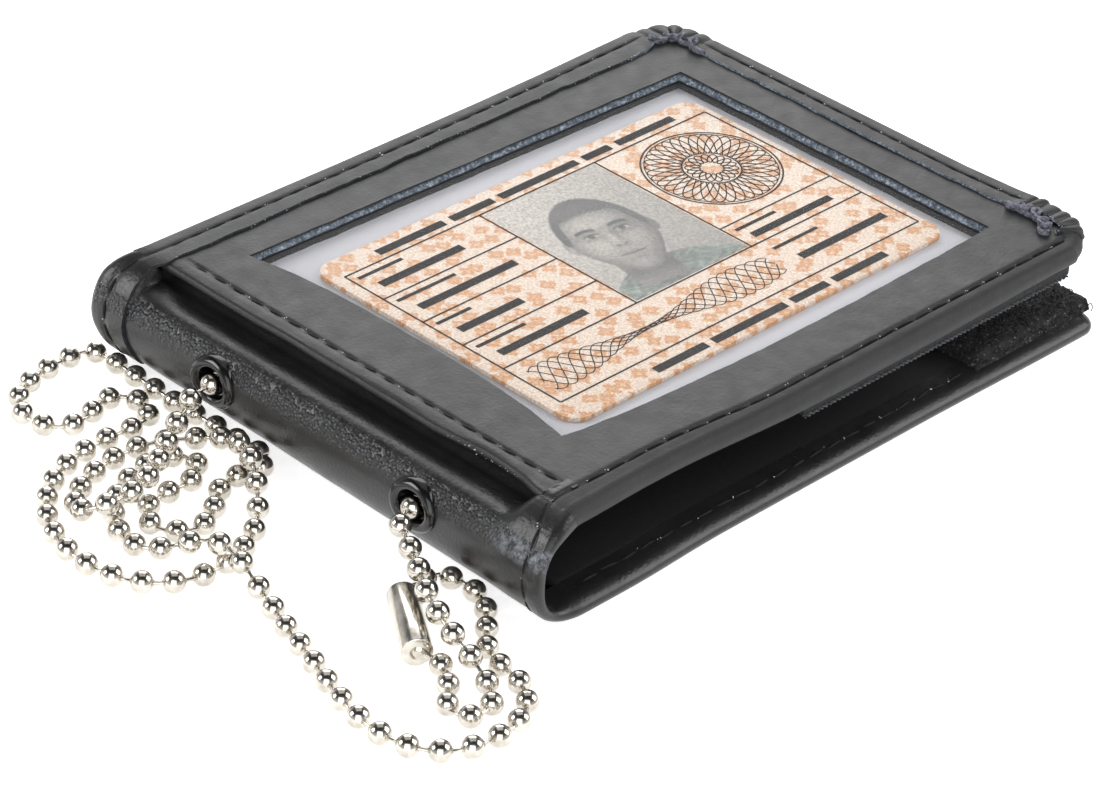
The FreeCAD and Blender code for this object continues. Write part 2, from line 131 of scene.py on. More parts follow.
def linear(code, alpha=1.0):
    """An sRGB hex colour as linear numbers."""
    parts = [int(code[i:i + 2], 16) / 255 for i in (1, 3, 5)]
    return [c / 12.92 if c <= 0.04045 else ((c + 0.055) / 1.055) ** 2.4 for c in parts] + [alpha]


def add_node(owner, kind, values=None, links=None, stops=None, feeds=None, **settings):
    """A shader node with its settings, fixed values, colour stops, what feeds it and what it feeds."""
    tree = owner.node_tree
    made = tree.nodes.new("ShaderNode" + kind)
    for name, value in settings.items():
        setattr(made, name, value)
    for socket, value in (values or {}).items():
        made.inputs[socket].default_value = value
    for socket, source in (links or {}).items():
        tree.links.new(source, made.inputs[socket])
    if stops:
        elements = made.color_ramp.elements
        while len(elements) < len(stops):
            elements.new(0.5)
        for element, (place, code) in zip(elements, stops):
            element.position = place
            element.color = linear(code)
    for socket, target in (feeds or {}).items():
        tree.links.new(made.outputs[socket], target)
    return made


def new_material(name, **sockets):
    """A named material, its surface shader with fixed values on its own sockets, and object coordinates."""
    material = bpy.data.materials.new(name)
    material.use_nodes = True
    shader = material.node_tree.nodes["Principled BSDF"]
    for socket, value in sockets.items():
        shader.inputs[socket.replace("_", " ")].default_value = value
    place = add_node(material, "TexCoord").outputs["Object"]
    return material, shader.inputs, place


def per_mm(size):
    """The texture scale that makes a pattern's features the given size in millimetres."""
    return 1000.0 / size


def smooth_leather(name, gloss, pebbled_ridge_with_glints):
    """Black corrected-grain leather, pressed smooth and waxed: nearly black with a sheen, a fine pore and
    slow changes of gloss. Along the ridge of a tight bend the grain opens into pebbles whose tips are
    painted pale as a painted highlight; at the near end the ridge is painted pale, partly scuff and partly
    painted highlight."""
    material, face, place = new_material(name, IOR=1.5)
    tone = add_node(material, "TexNoise", {"Scale": per_mm(14), "Detail": 5, "Roughness": 0.6},
                    {"Vector": place})
    colour = add_node(material, "ValToRGB", links={"Fac": tone.outputs["Fac"]},
                      stops=[(0.3, "#1b1b1c"), (0.7, "#262627")]).outputs["Color"]
    sheen = add_node(material, "TexNoise", {"Scale": per_mm(3.5), "Detail": 6, "Roughness": 0.65},
                     {"Vector": place})
    add_node(material, "MapRange",
             {"From Min": 0.25, "From Max": 0.75, "To Min": gloss, "To Max": gloss + 0.16},
             {"Value": sheen.outputs["Fac"]}, feeds={"Result": face["Roughness"]})
    pore = add_node(material, "TexNoise", {"Scale": per_mm(0.55), "Detail": 3}, {"Vector": place})
    height = pore.outputs["Fac"]
    if pebbled_ridge_with_glints:
        mask, scuff_and_highlight = ridge_masks(material, place)
        pebble = add_node(material, "TexVoronoi", {"Scale": per_mm(0.62)}, {"Vector": place})
        dome = add_node(material, "MapRange", {"From Max": 0.7, "To Min": 6.0, "To Max": 0},
                        {"Value": pebble.outputs["Distance"]})
        raised = add_node(material, "Math", links={0: dome.outputs["Result"], 1: mask},
                          operation="MULTIPLY")
        height = add_node(material, "Math", links={0: raised.outputs["Value"], 1: height},
                          operation="ADD").outputs["Value"]
        # Pebble tips painted pale: a painted highlight where the pebbles catch the light
        painted_glint_on_tip = add_node(material, "MapRange", {"From Min": 2.4, "From Max": 5.0, "To Max": 0.3},
                       {"Value": raised.outputs["Value"]})
        glint_and_scuff = add_node(material, "Math", links={0: painted_glint_on_tip.outputs["Result"], 1: scuff_and_highlight},
                          operation="MAXIMUM")
        # Painted highlight on the pebble tips, and the near end's pale patch, partly scuff and partly
        # painted highlight
        colour = add_node(material, "Mix", {"B": linear("#a9b0b9")},
                          {"Factor": glint_and_scuff.outputs["Value"], "A": colour},
                          data_type="RGBA").outputs["Result"]
    material.node_tree.links.new(colour, face["Base Color"])
    add_node(material, "Bump", {"Strength": 0.42, "Distance": 0.00016}, {"Height": height},
             feeds={"Normal": face["Normal"]})
    return material


def ridge_masks(material, place):
    """Two values for the spine's upper ridge: where its grain has opened, in patches, and where the near
    end is painted pale, partly scuff and partly painted highlight."""
    split = add_node(material, "SeparateXYZ", links={"Vector": place})
    rise = add_node(material, "MapRange", {"From Min": 0.0098, "From Max": 0.0118},
                    {"Value": split.outputs["Z"]}, interpolation_type="SMOOTHSTEP")
    fall = add_node(material, "MapRange",
                    {"From Min": 0.0128, "From Max": 0.0142, "To Min": 1, "To Max": 0},
                    {"Value": split.outputs["Z"]}, interpolation_type="SMOOTHSTEP")
    band = add_node(material, "Math", operation="MULTIPLY",
                    links={0: rise.outputs["Result"], 1: fall.outputs["Result"]})
    side = add_node(material, "MapRange",
                    {"From Min": -0.058, "From Max": -0.0565, "To Min": 1, "To Max": 0},
                    {"Value": split.outputs["X"]})
    outer = add_node(material, "Math", operation="MULTIPLY",
                     links={0: band.outputs["Value"], 1: side.outputs["Result"]})
    patch = add_node(material, "TexNoise", {"Scale": per_mm(7), "Detail": 3}, {"Vector": place})
    patchy = add_node(material, "MapRange", {"From Min": 0.3, "From Max": 0.5, "To Min": 0.45},
                      {"Value": patch.outputs["Fac"]})
    open_grain = add_node(material, "Math", operation="MULTIPLY",
                          links={0: outer.outputs["Value"], 1: patchy.outputs["Result"]})
    # The near end's pale patch: partly scuffs, partly a painted highlight on the ridge
    near = add_node(material, "MapRange",
                    {"From Min": -0.034, "From Max": -0.039, "To Min": 0, "To Max": 0.5},
                    {"Value": split.outputs["Y"]})
    streak_noise = add_node(material, "TexNoise", {"Scale": per_mm(1.4), "Detail": 5, "Roughness": 0.7},
                   {"Vector": place})
    streak = add_node(material, "MapRange", {"From Min": 0.42, "From Max": 0.62},
                      {"Value": streak_noise.outputs["Fac"]})
    scuffed_and_lit_end = add_node(material, "Math", operation="MULTIPLY",
                        links={0: near.outputs["Result"], 1: streak.outputs["Result"]})
    scuff_and_highlight = add_node(material, "Math", operation="MULTIPLY",
                     links={0: scuffed_and_lit_end.outputs["Value"], 1: outer.outputs["Value"]})
    return open_grain.outputs["Value"], scuff_and_highlight.outputs["Value"]


def raw_leather_edge(name, window):
    """The cut edge of dyed leather: undressed blue-grey fibre, matt and ragged. Round the window its top
    rim is dark with dye and its foot is painted dark, a painted shade of the gap under the panel; elsewhere
    the cut is painted dark as painted shade except along the opening edge."""
    material, face, place = new_material(name, Roughness=0.85)
    fibre = add_node(material, "TexNoise", {"Scale": per_mm(0.6), "Detail": 6, "Roughness": 0.75},
                     {"Vector": place})
    colour = add_node(material, "ValToRGB", links={"Fac": fibre.outputs["Fac"]},
                      stops=[(0.36, "#343b45"), (0.5, "#66717e"), (0.66, "#b4c1cc")])
    split = add_node(material, "SeparateXYZ", links={"Vector": place})
    if window:
        # The foot of the cut is painted dark as painted shade of the gap under the panel; the top rim is
        # dark with dye
        low = add_node(material, "MapRange", {"From Min": 0.01690, "From Max": 0.01700},
                       {"Value": split.outputs["Z"]})
        high = add_node(material, "MapRange",
                        {"From Min": 0.01735, "From Max": 0.01775, "To Min": 1, "To Max": 0},
                        {"Value": split.outputs["Z"]})
        unshaded_bare_fibre = add_node(material, "Math", operation="MULTIPLY",
                        links={0: low.outputs["Result"], 1: high.outputs["Result"]}).outputs["Value"]
    else:
        # Away from the opening edge the cut is painted dark: painted shade along the strip's inner edge
        unshaded_bare_fibre = add_node(material, "MapRange",
                        {"From Min": 0.044, "From Max": 0.052, "To Min": 0.08},
                        {"Value": split.outputs["X"]}).outputs["Result"]
    add_node(material, "Mix", {"A": linear("#191b1f")},
             {"Factor": unshaded_bare_fibre, "B": colour.outputs["Color"]}, feeds={"Result": face["Base Color"]},
             data_type="RGBA")
    add_node(material, "Bump", {"Strength": 0.6, "Distance": 0.0004},
             {"Height": fibre.outputs["Fac"]}, feeds={"Normal": face["Normal"]})
    return material


def mottled(name, size, stops, bump=0.0, depth=0.0002, **sockets):
    """A surface whose tone wanders between a few colours at one size, with its own gloss and relief."""
    material, face, place = new_material(name, **sockets)
    noise = add_node(material, "TexNoise", {"Scale": per_mm(size), "Detail": 4, "Roughness": 0.6},
                     {"Vector": place})
    add_node(material, "ValToRGB", links={"Fac": noise.outputs["Fac"]}, stops=stops,
             feeds={"Color": face["Base Color"]})
    if bump:
        add_node(material, "Bump", {"Strength": bump, "Distance": depth},
                 {"Height": noise.outputs["Fac"]}, feeds={"Normal": face["Normal"]})
    return material


def nickel_plate(name, code, roughness):
    """Nickel plate over rolled brass: a warm bright metal with faint handling haze."""
    material, face, place = new_material(name, Metallic=1.0)
    haze = add_node(material, "TexNoise", {"Scale": per_mm(1.6), "Detail": 4}, {"Vector": place})
    add_node(material, "MapRange", {"To Min": roughness * 0.7, "To Max": roughness * 1.5},
             {"Value": haze.outputs["Fac"]}, feeds={"Result": face["Roughness"]})
    add_node(material, "ValToRGB", links={"Fac": haze.outputs["Fac"]},
             stops=[(0.3, code), (0.75, "#e2ddd4")], feeds={"Color": face["Base Color"]})
    return material


def printed_card():
    """Printed and laminated card: cream stock under scattered orange quatrefoils and a fine screen."""
    material, face, place = new_material("printed laminated card", Roughness=0.35)
    cell = add_node(material, "TexVoronoi", {"Scale": per_mm(3.6), "Randomness": 0.75},
                    {"Vector": place}, voronoi_dimensions="2D")
    off = add_node(material, "VectorMath", links={0: place, 1: cell.outputs["Position"]},
                   operation="SUBTRACT")
    split = add_node(material, "SeparateXYZ", links={"Vector": off.outputs["Vector"]})
    angle = add_node(material, "Math", links={0: split.outputs["Y"], 1: split.outputs["X"]},
                     operation="ARCTAN2")
    turns = add_node(material, "Math", {1: 4.0}, {0: angle.outputs["Value"]},
                     operation="MULTIPLY")
    lobe = add_node(material, "Math", links={0: turns.outputs["Value"]}, operation="COSINE")
    petal = add_node(material, "Math", {1: -0.06}, operation="MULTIPLY_ADD",
                     links={0: lobe.outputs["Value"], 2: cell.outputs["Distance"]})
    ragged = add_node(material, "TexNoise", {"Scale": per_mm(0.8), "Detail": 3},
                      {"Vector": place})
    reach = add_node(material, "Math", {1: 0.42},
                     {0: ragged.outputs["Fac"], 2: petal.outputs["Value"]}, operation="MULTIPLY_ADD")
    tint = add_node(material, "ValToRGB", links={"Fac": reach.outputs["Value"]},
                    stops=[(0.26, "#efcba3"), (0.34, "#dd9d5e"), (0.5, "#e3ad78"), (0.6, "#f4e2cf")])
    screen = add_node(material, "TexNoise", {"Scale": per_mm(0.4), "Detail": 3},
                      {"Vector": place})
    fleck = add_node(material, "ValToRGB", links={"Fac": screen.outputs["Fac"]},
                     stops=[(0.4, "#c0a797"), (0.6, "#f4f2f0")])
    add_node(material, "Mix", {"Factor": 0.6}, feeds={"Result": face["Base Color"]},
             links={"A": tint.outputs["Color"], "B": fleck.outputs["Color"]},
             data_type="RGBA", blend_type="MULTIPLY")
    return material


def grey_print():
    """A grey photographic print: its tones are painted on the piece and broken by a fine screen."""
    material, face, place = new_material("grey photographic print", Roughness=0.35)
    tone = add_node(material, "Attribute", attribute_name="tone")
    screen = add_node(material, "TexNoise", {"Scale": per_mm(0.5), "Detail": 2},
                      {"Vector": place})
    grit = add_node(material, "ValToRGB", links={"Fac": screen.outputs["Fac"]},
                    stops=[(0.35, "#b5b0aa"), (0.65, "#ffffff")])
    add_node(material, "Mix", {"Factor": 0.7}, feeds={"Result": face["Base Color"]},
             links={"A": tone.outputs["Color"], "B": grit.outputs["Color"]},
             data_type="RGBA", blend_type="MULTIPLY")
    return material


# Leather is nearly black and takes its greys from what it reflects
PANEL_LEATHER = smooth_leather("satin panel leather", 0.4, False)
SPINE_LEATHER = smooth_leather("glossy spine leather", 0.24, True)
ROLL_LEATHER = smooth_leather("soft rolled leather", 0.56, False)
# Undressed fibre shows blue-grey where the leather was cut, and is painted dark as painted shade where the
# cut lies in shadow
RAW_EDGE = raw_leather_edge("raw cut leather edge", False)
WINDOW_EDGE = raw_leather_edge("raw cut window edge", True)
# The flesh side of the gathered strip: lilac-grey, matt and fuzzy
FLESH = mottled("leather flesh side", 0.6, [(0.36, "#3d3d47"), (0.64, "#8b8b98")], bump=0.5, Roughness=0.85)
# Bonded nylon: black, tightly twisted, with a small hard gloss
THREAD = mottled("waxed nylon thread", 0.45, [(0.35, "#060607"), (0.7, "#1d1e20")], bump=0.5, Roughness=0.7,
                 Specular_IOR_Level=0.3)
# Pale fibre pulled up at the needle holes: matt grey-white
FIBRE = mottled("pulled leather fibre", 2.5, [(0.3, "#6f7680"), (0.7, "#d3dae2")], Roughness=0.8)
# Coated lining cloth: matt black with a faint weave
LINING = mottled("coated lining cloth", 0.9, [(0.3, "#131314"), (0.7, "#1f1f20")], bump=0.15, Roughness=0.6)
BEAD_NICKEL = nickel_plate("nickel plated bead", "#b9b3a8", 0.12)
BARREL_NICKEL = nickel_plate("nickel plated barrel", "#c4bfb4", 0.2)
# Gloss black enamel on pressed brass: deep black with a slight orange peel
ENAMEL = mottled("black enamel on brass", 1.2, [(0.3, "#0b0b0c"), (0.7, "#161617")], bump=0.05,
                 Roughness=0.14, IOR=1.52)
# Clear plasticised vinyl: colourless, with the faintest haze
VINYL = mottled("clear vinyl sheet", 18, [(0.3, "#e6e7ea"), (0.7, "#f4f5f6")], Roughness=0.15, Alpha=0.025)
# Calendered plastic liner: smooth, matt, faintly lilac grey
LINER = mottled("grey calendered liner", 20, [(0.3, "#d2d2d8"), (0.7, "#dcdce1")], Roughness=0.75, IOR=1.3)
CARD = printed_card()
# Printing inks on the card: thin, slightly uneven where the stock drinks them
INK = mottled("black printing ink", 0.6, [(0.3, "#0e0c0b"), (0.75, "#2b2624")], Roughness=0.6,
              Specular_IOR_Level=0.1)
BROWN_INK = mottled("brown printing ink", 0.6, [(0.3, "#1d1612"), (0.75, "#4c3a2f")], Roughness=0.6,
                    Specular_IOR_Level=0.1)
PRINT = grey_print()
# Nylon pile and woven tape: matt black fibre with light caught on its tips
LOOP_PILE = mottled("nylon loop pile", 0.5, [(0.42, "#040405"), (0.6, "#1d1e20"), (0.72, "#7d7f86")],
                    bump=0.7, depth=0.0005, Roughness=0.8)
HOOK_WEAVE = mottled("woven hook tape", 0.6, [(0.35, "#060607"), (0.72, "#1d1e21")],
                     bump=0.7, depth=0.0005, Roughness=0.85)
SELVEDGE = mottled("braided selvedge", 0.5, [(0.35, "#17171a"), (0.72, "#55575c")],
                   bump=0.7, depth=0.0005, Roughness=0.8)
# Seamless paper: plain white, lit from behind so that no shadow greys it
PAPER = mottled("white seamless paper", 30, [(0.3, "#fafafa"), (0.7, "#fcfcfc")], Roughness=0.9,
                Emission_Color=linear("#ffffff"), Emission_Strength=0.7)


# Modelling helpers

def take_active(name):
    """The object that an operator has just made, under its own name."""
    piece = bpy.context.object
    piece.name = name
    piece.data.name = name
    return piece


def make_active(piece):
    """One object selected and active, with all else deselected."""
    bpy.ops.object.select_all(action="DESELECT")
    piece.select_set(True)
    bpy.context.view_layer.objects.active = piece


def apply_modifier(piece, kind, **settings):
    """A modifier put on a piece and applied at once."""
    made = piece.modifiers.new(kind.lower(), kind)
    for name, value in settings.items():
        setattr(made, name, value)
    make_active(piece)
    bpy.ops.object.modifier_apply(modifier=made.name)


def in_edit_mode(piece, *steps):
    """Edit operators run on all of a piece's mesh, each given as (operator, settings)."""
    make_active(piece)
    bpy.ops.object.mode_set(mode="EDIT")
    bpy.ops.mesh.select_all(action="SELECT")
    for operator, settings in steps:
        operator(**settings)
    bpy.ops.object.mode_set(mode="OBJECT")


def edit_chosen(piece, kind, chosen, *steps):
    """Edit operators run on those of a piece's faces or edges that pass a test."""
    make_active(piece)
    bpy.ops.object.mode_set(mode="EDIT")
    bpy.ops.mesh.select_mode(type=kind)
    bpy.ops.mesh.select_all(action="DESELECT")
    bpy.ops.object.mode_set(mode="OBJECT")
    for element in piece.data.polygons if kind == "FACE" else piece.data.edges:
        element.select = chosen(element)
    bpy.ops.object.mode_set(mode="EDIT")
    for operator, settings in steps:
        operator(**settings)
    bpy.ops.object.mode_set(mode="OBJECT")


def shade(piece, degrees=40):
    """Smooth shading that keeps edges sharper than an angle."""
    make_active(piece)
    bpy.ops.object.shade_smooth_by_angle(angle=math.radians(degrees))


def join(pieces, name):
    """Several objects joined into one."""
    bpy.ops.object.select_all(action="DESELECT")
    for piece in pieces:
        piece.select_set(True)
    bpy.context.view_layer.objects.active = pieces[0]
    if len(pieces) > 1:
        bpy.ops.object.join()
    return take_active(name)


def paint(piece, *materials):
    """The piece's material slots."""
    piece.data.materials.clear()
    for material in materials:
        piece.data.materials.append(material)


def sheet(name, rows):
    """A grid whose points are moved to rows of places in millimetres."""
    places = np.asarray(rows, float) * MM
    along, across = places.shape[:2]
    bpy.ops.mesh.primitive_grid_add(x_subdivisions=across - 1, y_subdivisions=along - 1, size=1)
    piece = take_active(name)
    piece.data.vertices.foreach_set("co", places.reshape(-1).astype(np.float32))
    piece.data.update()
    return piece


def thicken(piece, thick, rim_material=0, inner_material=0, even=True):
    """A sheet given its thickness behind its face; its rim and its back may take other material slots."""
    apply_modifier(piece, "SOLIDIFY", thickness=thick * MM, offset=-1.0, use_even_offset=even,
                   material_offset=inner_material, material_offset_rim=rim_material)


def copies(source, matrices, name):
    """Copies of one modelled shape, each with its own mesh, joined into one; the source is removed."""
    made = []
    for matrix in matrices:
        twin = bpy.data.objects.new(name, source.data.copy())
        bpy.context.scene.collection.objects.link(twin)
        twin.data.transform(matrix)
        made.append(twin)
    bpy.data.objects.remove(source)
    return join(made, name)


def tube(name, path, radius, sides):
    """A thin tube along a path of places in millimetres."""
    path = np.asarray(path, float)
    ahead = np.gradient(path, axis=0)
    turns = np.linspace(0, 2 * math.pi, sides + 1)
    rows = []
    for place, way in zip(path, ahead):
        facing = Vector(way).to_track_quat("Z", "Y").to_matrix()
        ring = [facing @ Vector((math.cos(a), math.sin(a), 0)) for a in turns]
        rows.append([place + radius * np.array(spoke) for spoke in ring])
    piece = sheet(name, rows)
    in_edit_mode(piece, (bpy.ops.mesh.remove_doubles, dict(threshold=0.01 * radius * MM)),
                 (bpy.ops.mesh.normals_make_consistent, dict(inside=False)))
    return piece


def block(name, x, y, z):
    """A box between pairs of coordinates in millimetres."""
    spans = [np.array(pair) for pair in (x, y, z)]
    bpy.ops.mesh.primitive_cube_add(size=1)
    piece = take_active(name)
    piece.data.transform(Matrix.Translation(Vector([pair.sum() / 2 for pair in spans]) * MM)
                         @ Matrix.Diagonal([(pair[1] - pair[0]) * MM for pair in spans] + [1]))
    return piece


def rounded_slab(name, x, y, z, corner, edge):
    """A flat slab with round corners in plan and eased edges."""
    slab = block(name, x, y, z)

    def upright(line):
        ends = [slab.data.vertices[number].co for number in line.vertices]
        return abs(ends[0].z - ends[1].z) > 0.1 * MM

    edit_chosen(slab, "EDGE", upright, (bpy.ops.mesh.bevel, dict(offset=corner * MM, segments=10)))
    apply_modifier(slab, "BEVEL", width=edge * MM, segments=3, limit_method="ANGLE",
                   angle_limit=math.radians(50))
    shade(slab)
    return slab


def smooth_step(x, low, high):
    """A smooth change from 0 at low to 1 at high."""
    t = np.clip((np.asarray(x, float) - low) / (high - low), 0, 1)
    return t * t * (3 - 2 * t)


def bell(x, centre, width):
    """A smooth hump of height 1."""
    return np.exp(-((np.asarray(x, float) - centre) / width) ** 2)


def slow_wave(a, b=0.0):
    """A slow irregular wave between about -1 and 1."""
    a = np.asarray(a, float)
    return (0.5 * np.sin(a / 7.3 + b) + 0.3 * np.sin(a / 3.1 + 2.1 * b + 1.3)
            + 0.2 * np.sin(a / 1.9 + 0.7 * b))


def spread(*spans):
    """Values along joined spans, each given as (start, end, steps)."""
    values = [spans[0][0]]
    for start, end, steps in spans:
        values += list(np.linspace(start, end, steps + 1)[1:])
    return np.array(values)


def run_along(places):
    """The distance of each place from the first, along the line through them."""
    return np.concatenate([[0], np.cumsum(np.linalg.norm(np.diff(places, axis=0), axis=1))])


def bend_at_fold(piece):
    """The piece's placement baked into its mesh."""
    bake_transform(piece)


# The finished edges: a section is swept along stations round the covers and the spine's ends

class Station:
    """A place on an edge line: the point on the outer face, the way inward, the outward normal."""

    def __init__(self, point, inward, normal):
        self.point = np.array(point, float)
        self.inward = np.array(inward, float)
        self.normal = np.array(normal, float) / np.linalg.norm(normal)

    def at(self, inset, depth):
        """The point at an inset from the edge line and a depth under the outer face."""
        return self.point + self.inward * inset - self.normal * depth


def upper_bend(y, inward, top, degrees):
    """A station on the rim over the spine's upper half; 90 degrees is its top, 180 its outermost line."""
    radius = top - SPINE_Z
    angle = math.radians(degrees)
    x = -EDGE_X + radius + radius * math.cos(angle)
    z = SPINE_Z + radius * math.sin(angle)
    return Station((x, y, z), (0, inward, 0), (math.cos(angle), 0, math.sin(angle)))


def lower_bend(y, inward, degrees, square=2.0):
    """A station on the rim under the spine; 0 degrees is its outermost line and 90 its foot. Square 2 is
    an ellipse, and more than that fills the lower corner."""
    angle = math.radians(degrees)
    wide = EDGE_X + SPINE_X
    c = max(math.cos(angle), 0.0)
    s = math.sin(angle)
    swell = (c ** square + s ** square) ** (-1 / square)
    x = SPINE_X - wide * swell * c
    z = SPINE_Z - SPINE_Z * swell * s
    normal = (-c ** (square - 1) / wide, 0, -s ** (square - 1) / SPINE_Z)
    return Station((x, y, z), (0, inward, 0), normal)


def corner_stations(side, start, end, steps, z, normal_z, edge_x=EDGE_X, radius=CORNER):
    """Stations round a corner of the opening edge; side is -1 near and 1 far, angles in degrees."""
    made = []
    for degrees in np.linspace(start, end, steps + 1):
        angle = math.radians(degrees)
        way = np.array((math.cos(angle), math.sin(angle), 0))
        centre = np.array((edge_x - radius, side * (EDGE_Y - radius), z))
        made.append(Station(centre + way * radius, -way, (0, 0, normal_z)))
    return made


def corner_run(station):
    """The distance along the edge from the middle of the nearest corner of the opening edge."""
    side = math.copysign(1, station.point[1])
    across = station.point[0] - (EDGE_X - CORNER)
    along = station.point[1] * side - (EDGE_Y - CORNER)
    if across > 0 and along > 0:
        return CORNER * (math.atan2(along, across) - math.pi / 4)
    if across > 0:
        return along - CORNER * math.pi / 4
    return CORNER * math.pi / 4 - across


def rolled_section(start, groove, dip, thick, roll, inner_roll, reach, drop):
    """Insets and depths of leather that runs from its start over the edge and back inside: a stitch
    groove, an edge rolled tighter outside than inside, and the return under the cover."""
    insets = np.linspace(start, roll, 15)
    depths = dip * bell(insets, groove, 0.5) + drop * bell(insets, start, 0.45)
    depths -= 0.1 * np.sin(np.pi * np.clip(insets / max(groove, 0.1), 0, 1))
    section = list(zip(insets, depths))
    middle = min(roll, thick * 0.5)
    for angle in np.linspace(0, np.pi / 2, 7)[1:]:
        section.append((roll * (1 - math.sin(angle)), middle * (1 - math.cos(angle))))
    for angle in np.linspace(0, np.pi / 2, 8)[1:]:
        section.append((inner_roll * (1 - math.cos(angle)), middle + (thick - middle) * math.sin(angle)))
    for inset in np.linspace(inner_roll, max(reach, inner_roll + 0.2), 4)[1:]:
        section.append((inset, thick))
    return section


def sweep(stations, sections):
    """The rows of places of a section carried along its stations."""
    return [[station.at(inset, depth) for inset, depth in section]
            for station, section in zip(stations, sections)]


# The near edge of the front cover

def near_retreat(x):
    """How far the front cover's near edge lies behind the back cover's, towards the spine."""
    return 1.0 * (1 - smooth_step(x, -36.0, -8.0)) - 0.4 * (1 - smooth_step(x, -53.0, -38.0))


def near_groove_line(x):
    """The y of the near stitch groove, which runs askew to the edge."""
    return -EDGE_Y + NEAR_GROOVE + GROOVE_SKEW * (1 - smooth_step(x, -36.0, -8.0))


def near_inset(station):
    """How far in from the near edge its stitch groove lies at a station."""
    if station.inward[1] < 0.9999:
        return NEAR_GROOVE
    return near_groove_line(station.point[0]) - station.point[1]


def near_rim(degrees):
    """A station on the near rim over the spine's upper half, which swings out from the cover's edge."""
    set_back = 0.6 * (1 - smooth_step(degrees, 92, 135))
    return upper_bend(-EDGE_Y + set_back, 1, PANEL_TOP, degrees)


def near_rim_inset(degrees):
    """How far in from the near rim its stitch groove lies over the spine's upper half."""
    groove = -EDGE_Y + NEAR_GROOVE + GROOVE_SKEW * (1 - smooth_step(degrees, 104, 150))
    return groove - near_rim(degrees).point[1]


def near_section(start, thick, drop):
    """The near edge's section, from its groove over the roll to the return under the cover."""
    roll = min(1.9, thick * 0.5)
    return rolled_section(start, groove=start * 0.5, dip=0.0, thick=thick, roll=roll, inner_roll=roll,
                          reach=5.2, drop=drop)


def swollen(station):
    """A station of the front cover's edge moved to where the strip's bulk pushes it: out beside the pleated
    corners, in at the near one."""
    if station.point[1] < 0:
        runs = (-26, -16, -12, -8, -5, -2, 0, 4, 7)
        swells = (0.1, 0.7, 1.3, 1.2, 0.5, -0.4, -0.8, -0.5, 0)
    else:
        runs = (-30, -8, 0, 5, 9.5, 19, 30, 45, 75, 110)
        swells = (0.1, 0.1, 0.1, 0.7, 1.2, 0.95, 0.55, 0.3, 0.3, 0.6)
    station.point = station.point - station.inward * np.interp(corner_run(station), runs, swells)
    return station


def corner_lift(station):
    """How far the near edge has risen into the pleats of its corner, from 0 to 1."""
    return smooth_step(-station.inward[0], 0.15, 0.9)


def near_front_stations():
    """Along the near edge of the front cover, from inside its corner to the fold."""
    made = [swollen(station) for station in corner_stations(-1, -38, -88, 14, PANEL_TOP, 1)]
    for station in made:
        station.point[2] += 0.3 * corner_lift(station)
    for x in spread((55.2, SPINE_X, 120)):
        made.append(Station((x, -EDGE_Y + near_retreat(x), PANEL_TOP), (0, 1, 0), (0, 0, 1)))
    return made + [near_rim(angle) for angle in np.linspace(90.5, NEAR_RIM_TOP, 6)]


def near_front_edge():
    """The rolled near edge of the front cover, from its corner to its end of the fold."""
    stations = near_front_stations()
    sections = []
    for station in stations:
        x = station.point[0]
        lift = corner_lift(station)
        pucker = 0.06 * math.cos(2 * math.pi * x / STITCH_PITCH) * smooth_step(x, -50, -46)
        thin = 0.7 * (1 - smooth_step(x, -30.0, 5.0)) + 0.8 * smooth_step(x, 20.0, 50.0)
        thick = PANEL_TOP - FRONT_BOTTOM - thin + 0.3 * lift
        sections.append(near_section(near_inset(station) + 1.4 * lift, thick, NEAR_DROP + pucker))
    piece = sheet("near_front_edge", sweep(stations, sections)[::-1])
    paint(piece, ROLL_LEATHER)
    thicken(piece, 0.9, even=False)
    shade(piece)
    bend_at_fold(piece)
    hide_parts("front_near_roll")


# The back cover's edge and the rims of the spine

def spine_square(y):
    """How square the spine's lower bend is along its length: fuller towards the near end."""
    return 2.12 + 0.5 * smooth_step(-y, -30, 42)


def far_bulge_upper(degrees):
    """How far the far end of the spine stands out beyond the covers, over its upper half."""
    return 0.6 + 2.6 * smooth_step(degrees, 90, 140)


def far_bulge_lower(degrees):
    """The same over its lower half, where it comes back to the back cover's edge."""
    return 3.2 - 1.3 * smooth_step(degrees, 0, 40) - 1.5 * smooth_step(degrees, 45, 90)


def far_rim_start(degrees):
    """How far in the raw edge of the far strip lies over the spine's upper half."""
    return EDGE_Y + far_bulge_upper(degrees) - 40.0 - 1.3 * smooth_step(degrees, 98, 116)


def far_rim_upper(degrees):
    """A station on the far rim over the spine's upper half."""
    return upper_bend(EDGE_Y + far_bulge_upper(degrees), -1, STRIP_TOP, degrees)


def far_rim_lower(degrees):
    """A station on the far rim under the spine."""
    return lower_bend(EDGE_Y + far_bulge_lower(degrees), -1, degrees, spine_square(EDGE_Y))


def near_back_line(x):
    """The near edge of the back cover, a little fuller towards both its ends."""
    return -EDGE_Y - 0.4 * smooth_step(x, 20, 58) - 0.7 * smooth_step(-x, 22, 44)


def near_spine_rim():
    """The near rim round the spine, from the fold to the foot: pairs of a station and its section."""
    made = []
    for degrees in np.linspace(NEAR_RIM_TOP, 178, 26):
        thick = 3.46 - 1.9 * smooth_step(degrees, 104, 156)
        made.append((near_rim(degrees), near_section(near_rim_inset(degrees), thick, NEAR_DROP)))
    for degrees in np.linspace(0, 88, 22):
        full = 0.7 * smooth_step(degrees, 50, 88)
        grown = smooth_step(degrees, 45, 88)
        section = rolled_section(NEAR_GROOVE + (5.2 - NEAR_GROOVE) * grown, groove=3.2, dip=0.12 * grown,
                                 thick=1.56 + (BACK_WALL - 1.56) * grown, roll=0.78 + 0.42 * grown,
                                 inner_roll=0.78 + 2.32 * grown, reach=5.6, drop=NEAR_DROP - 0.24 * grown)
        made.append((lower_bend(-EDGE_Y - full, 1, degrees, spine_square(-EDGE_Y)), section))
    return made


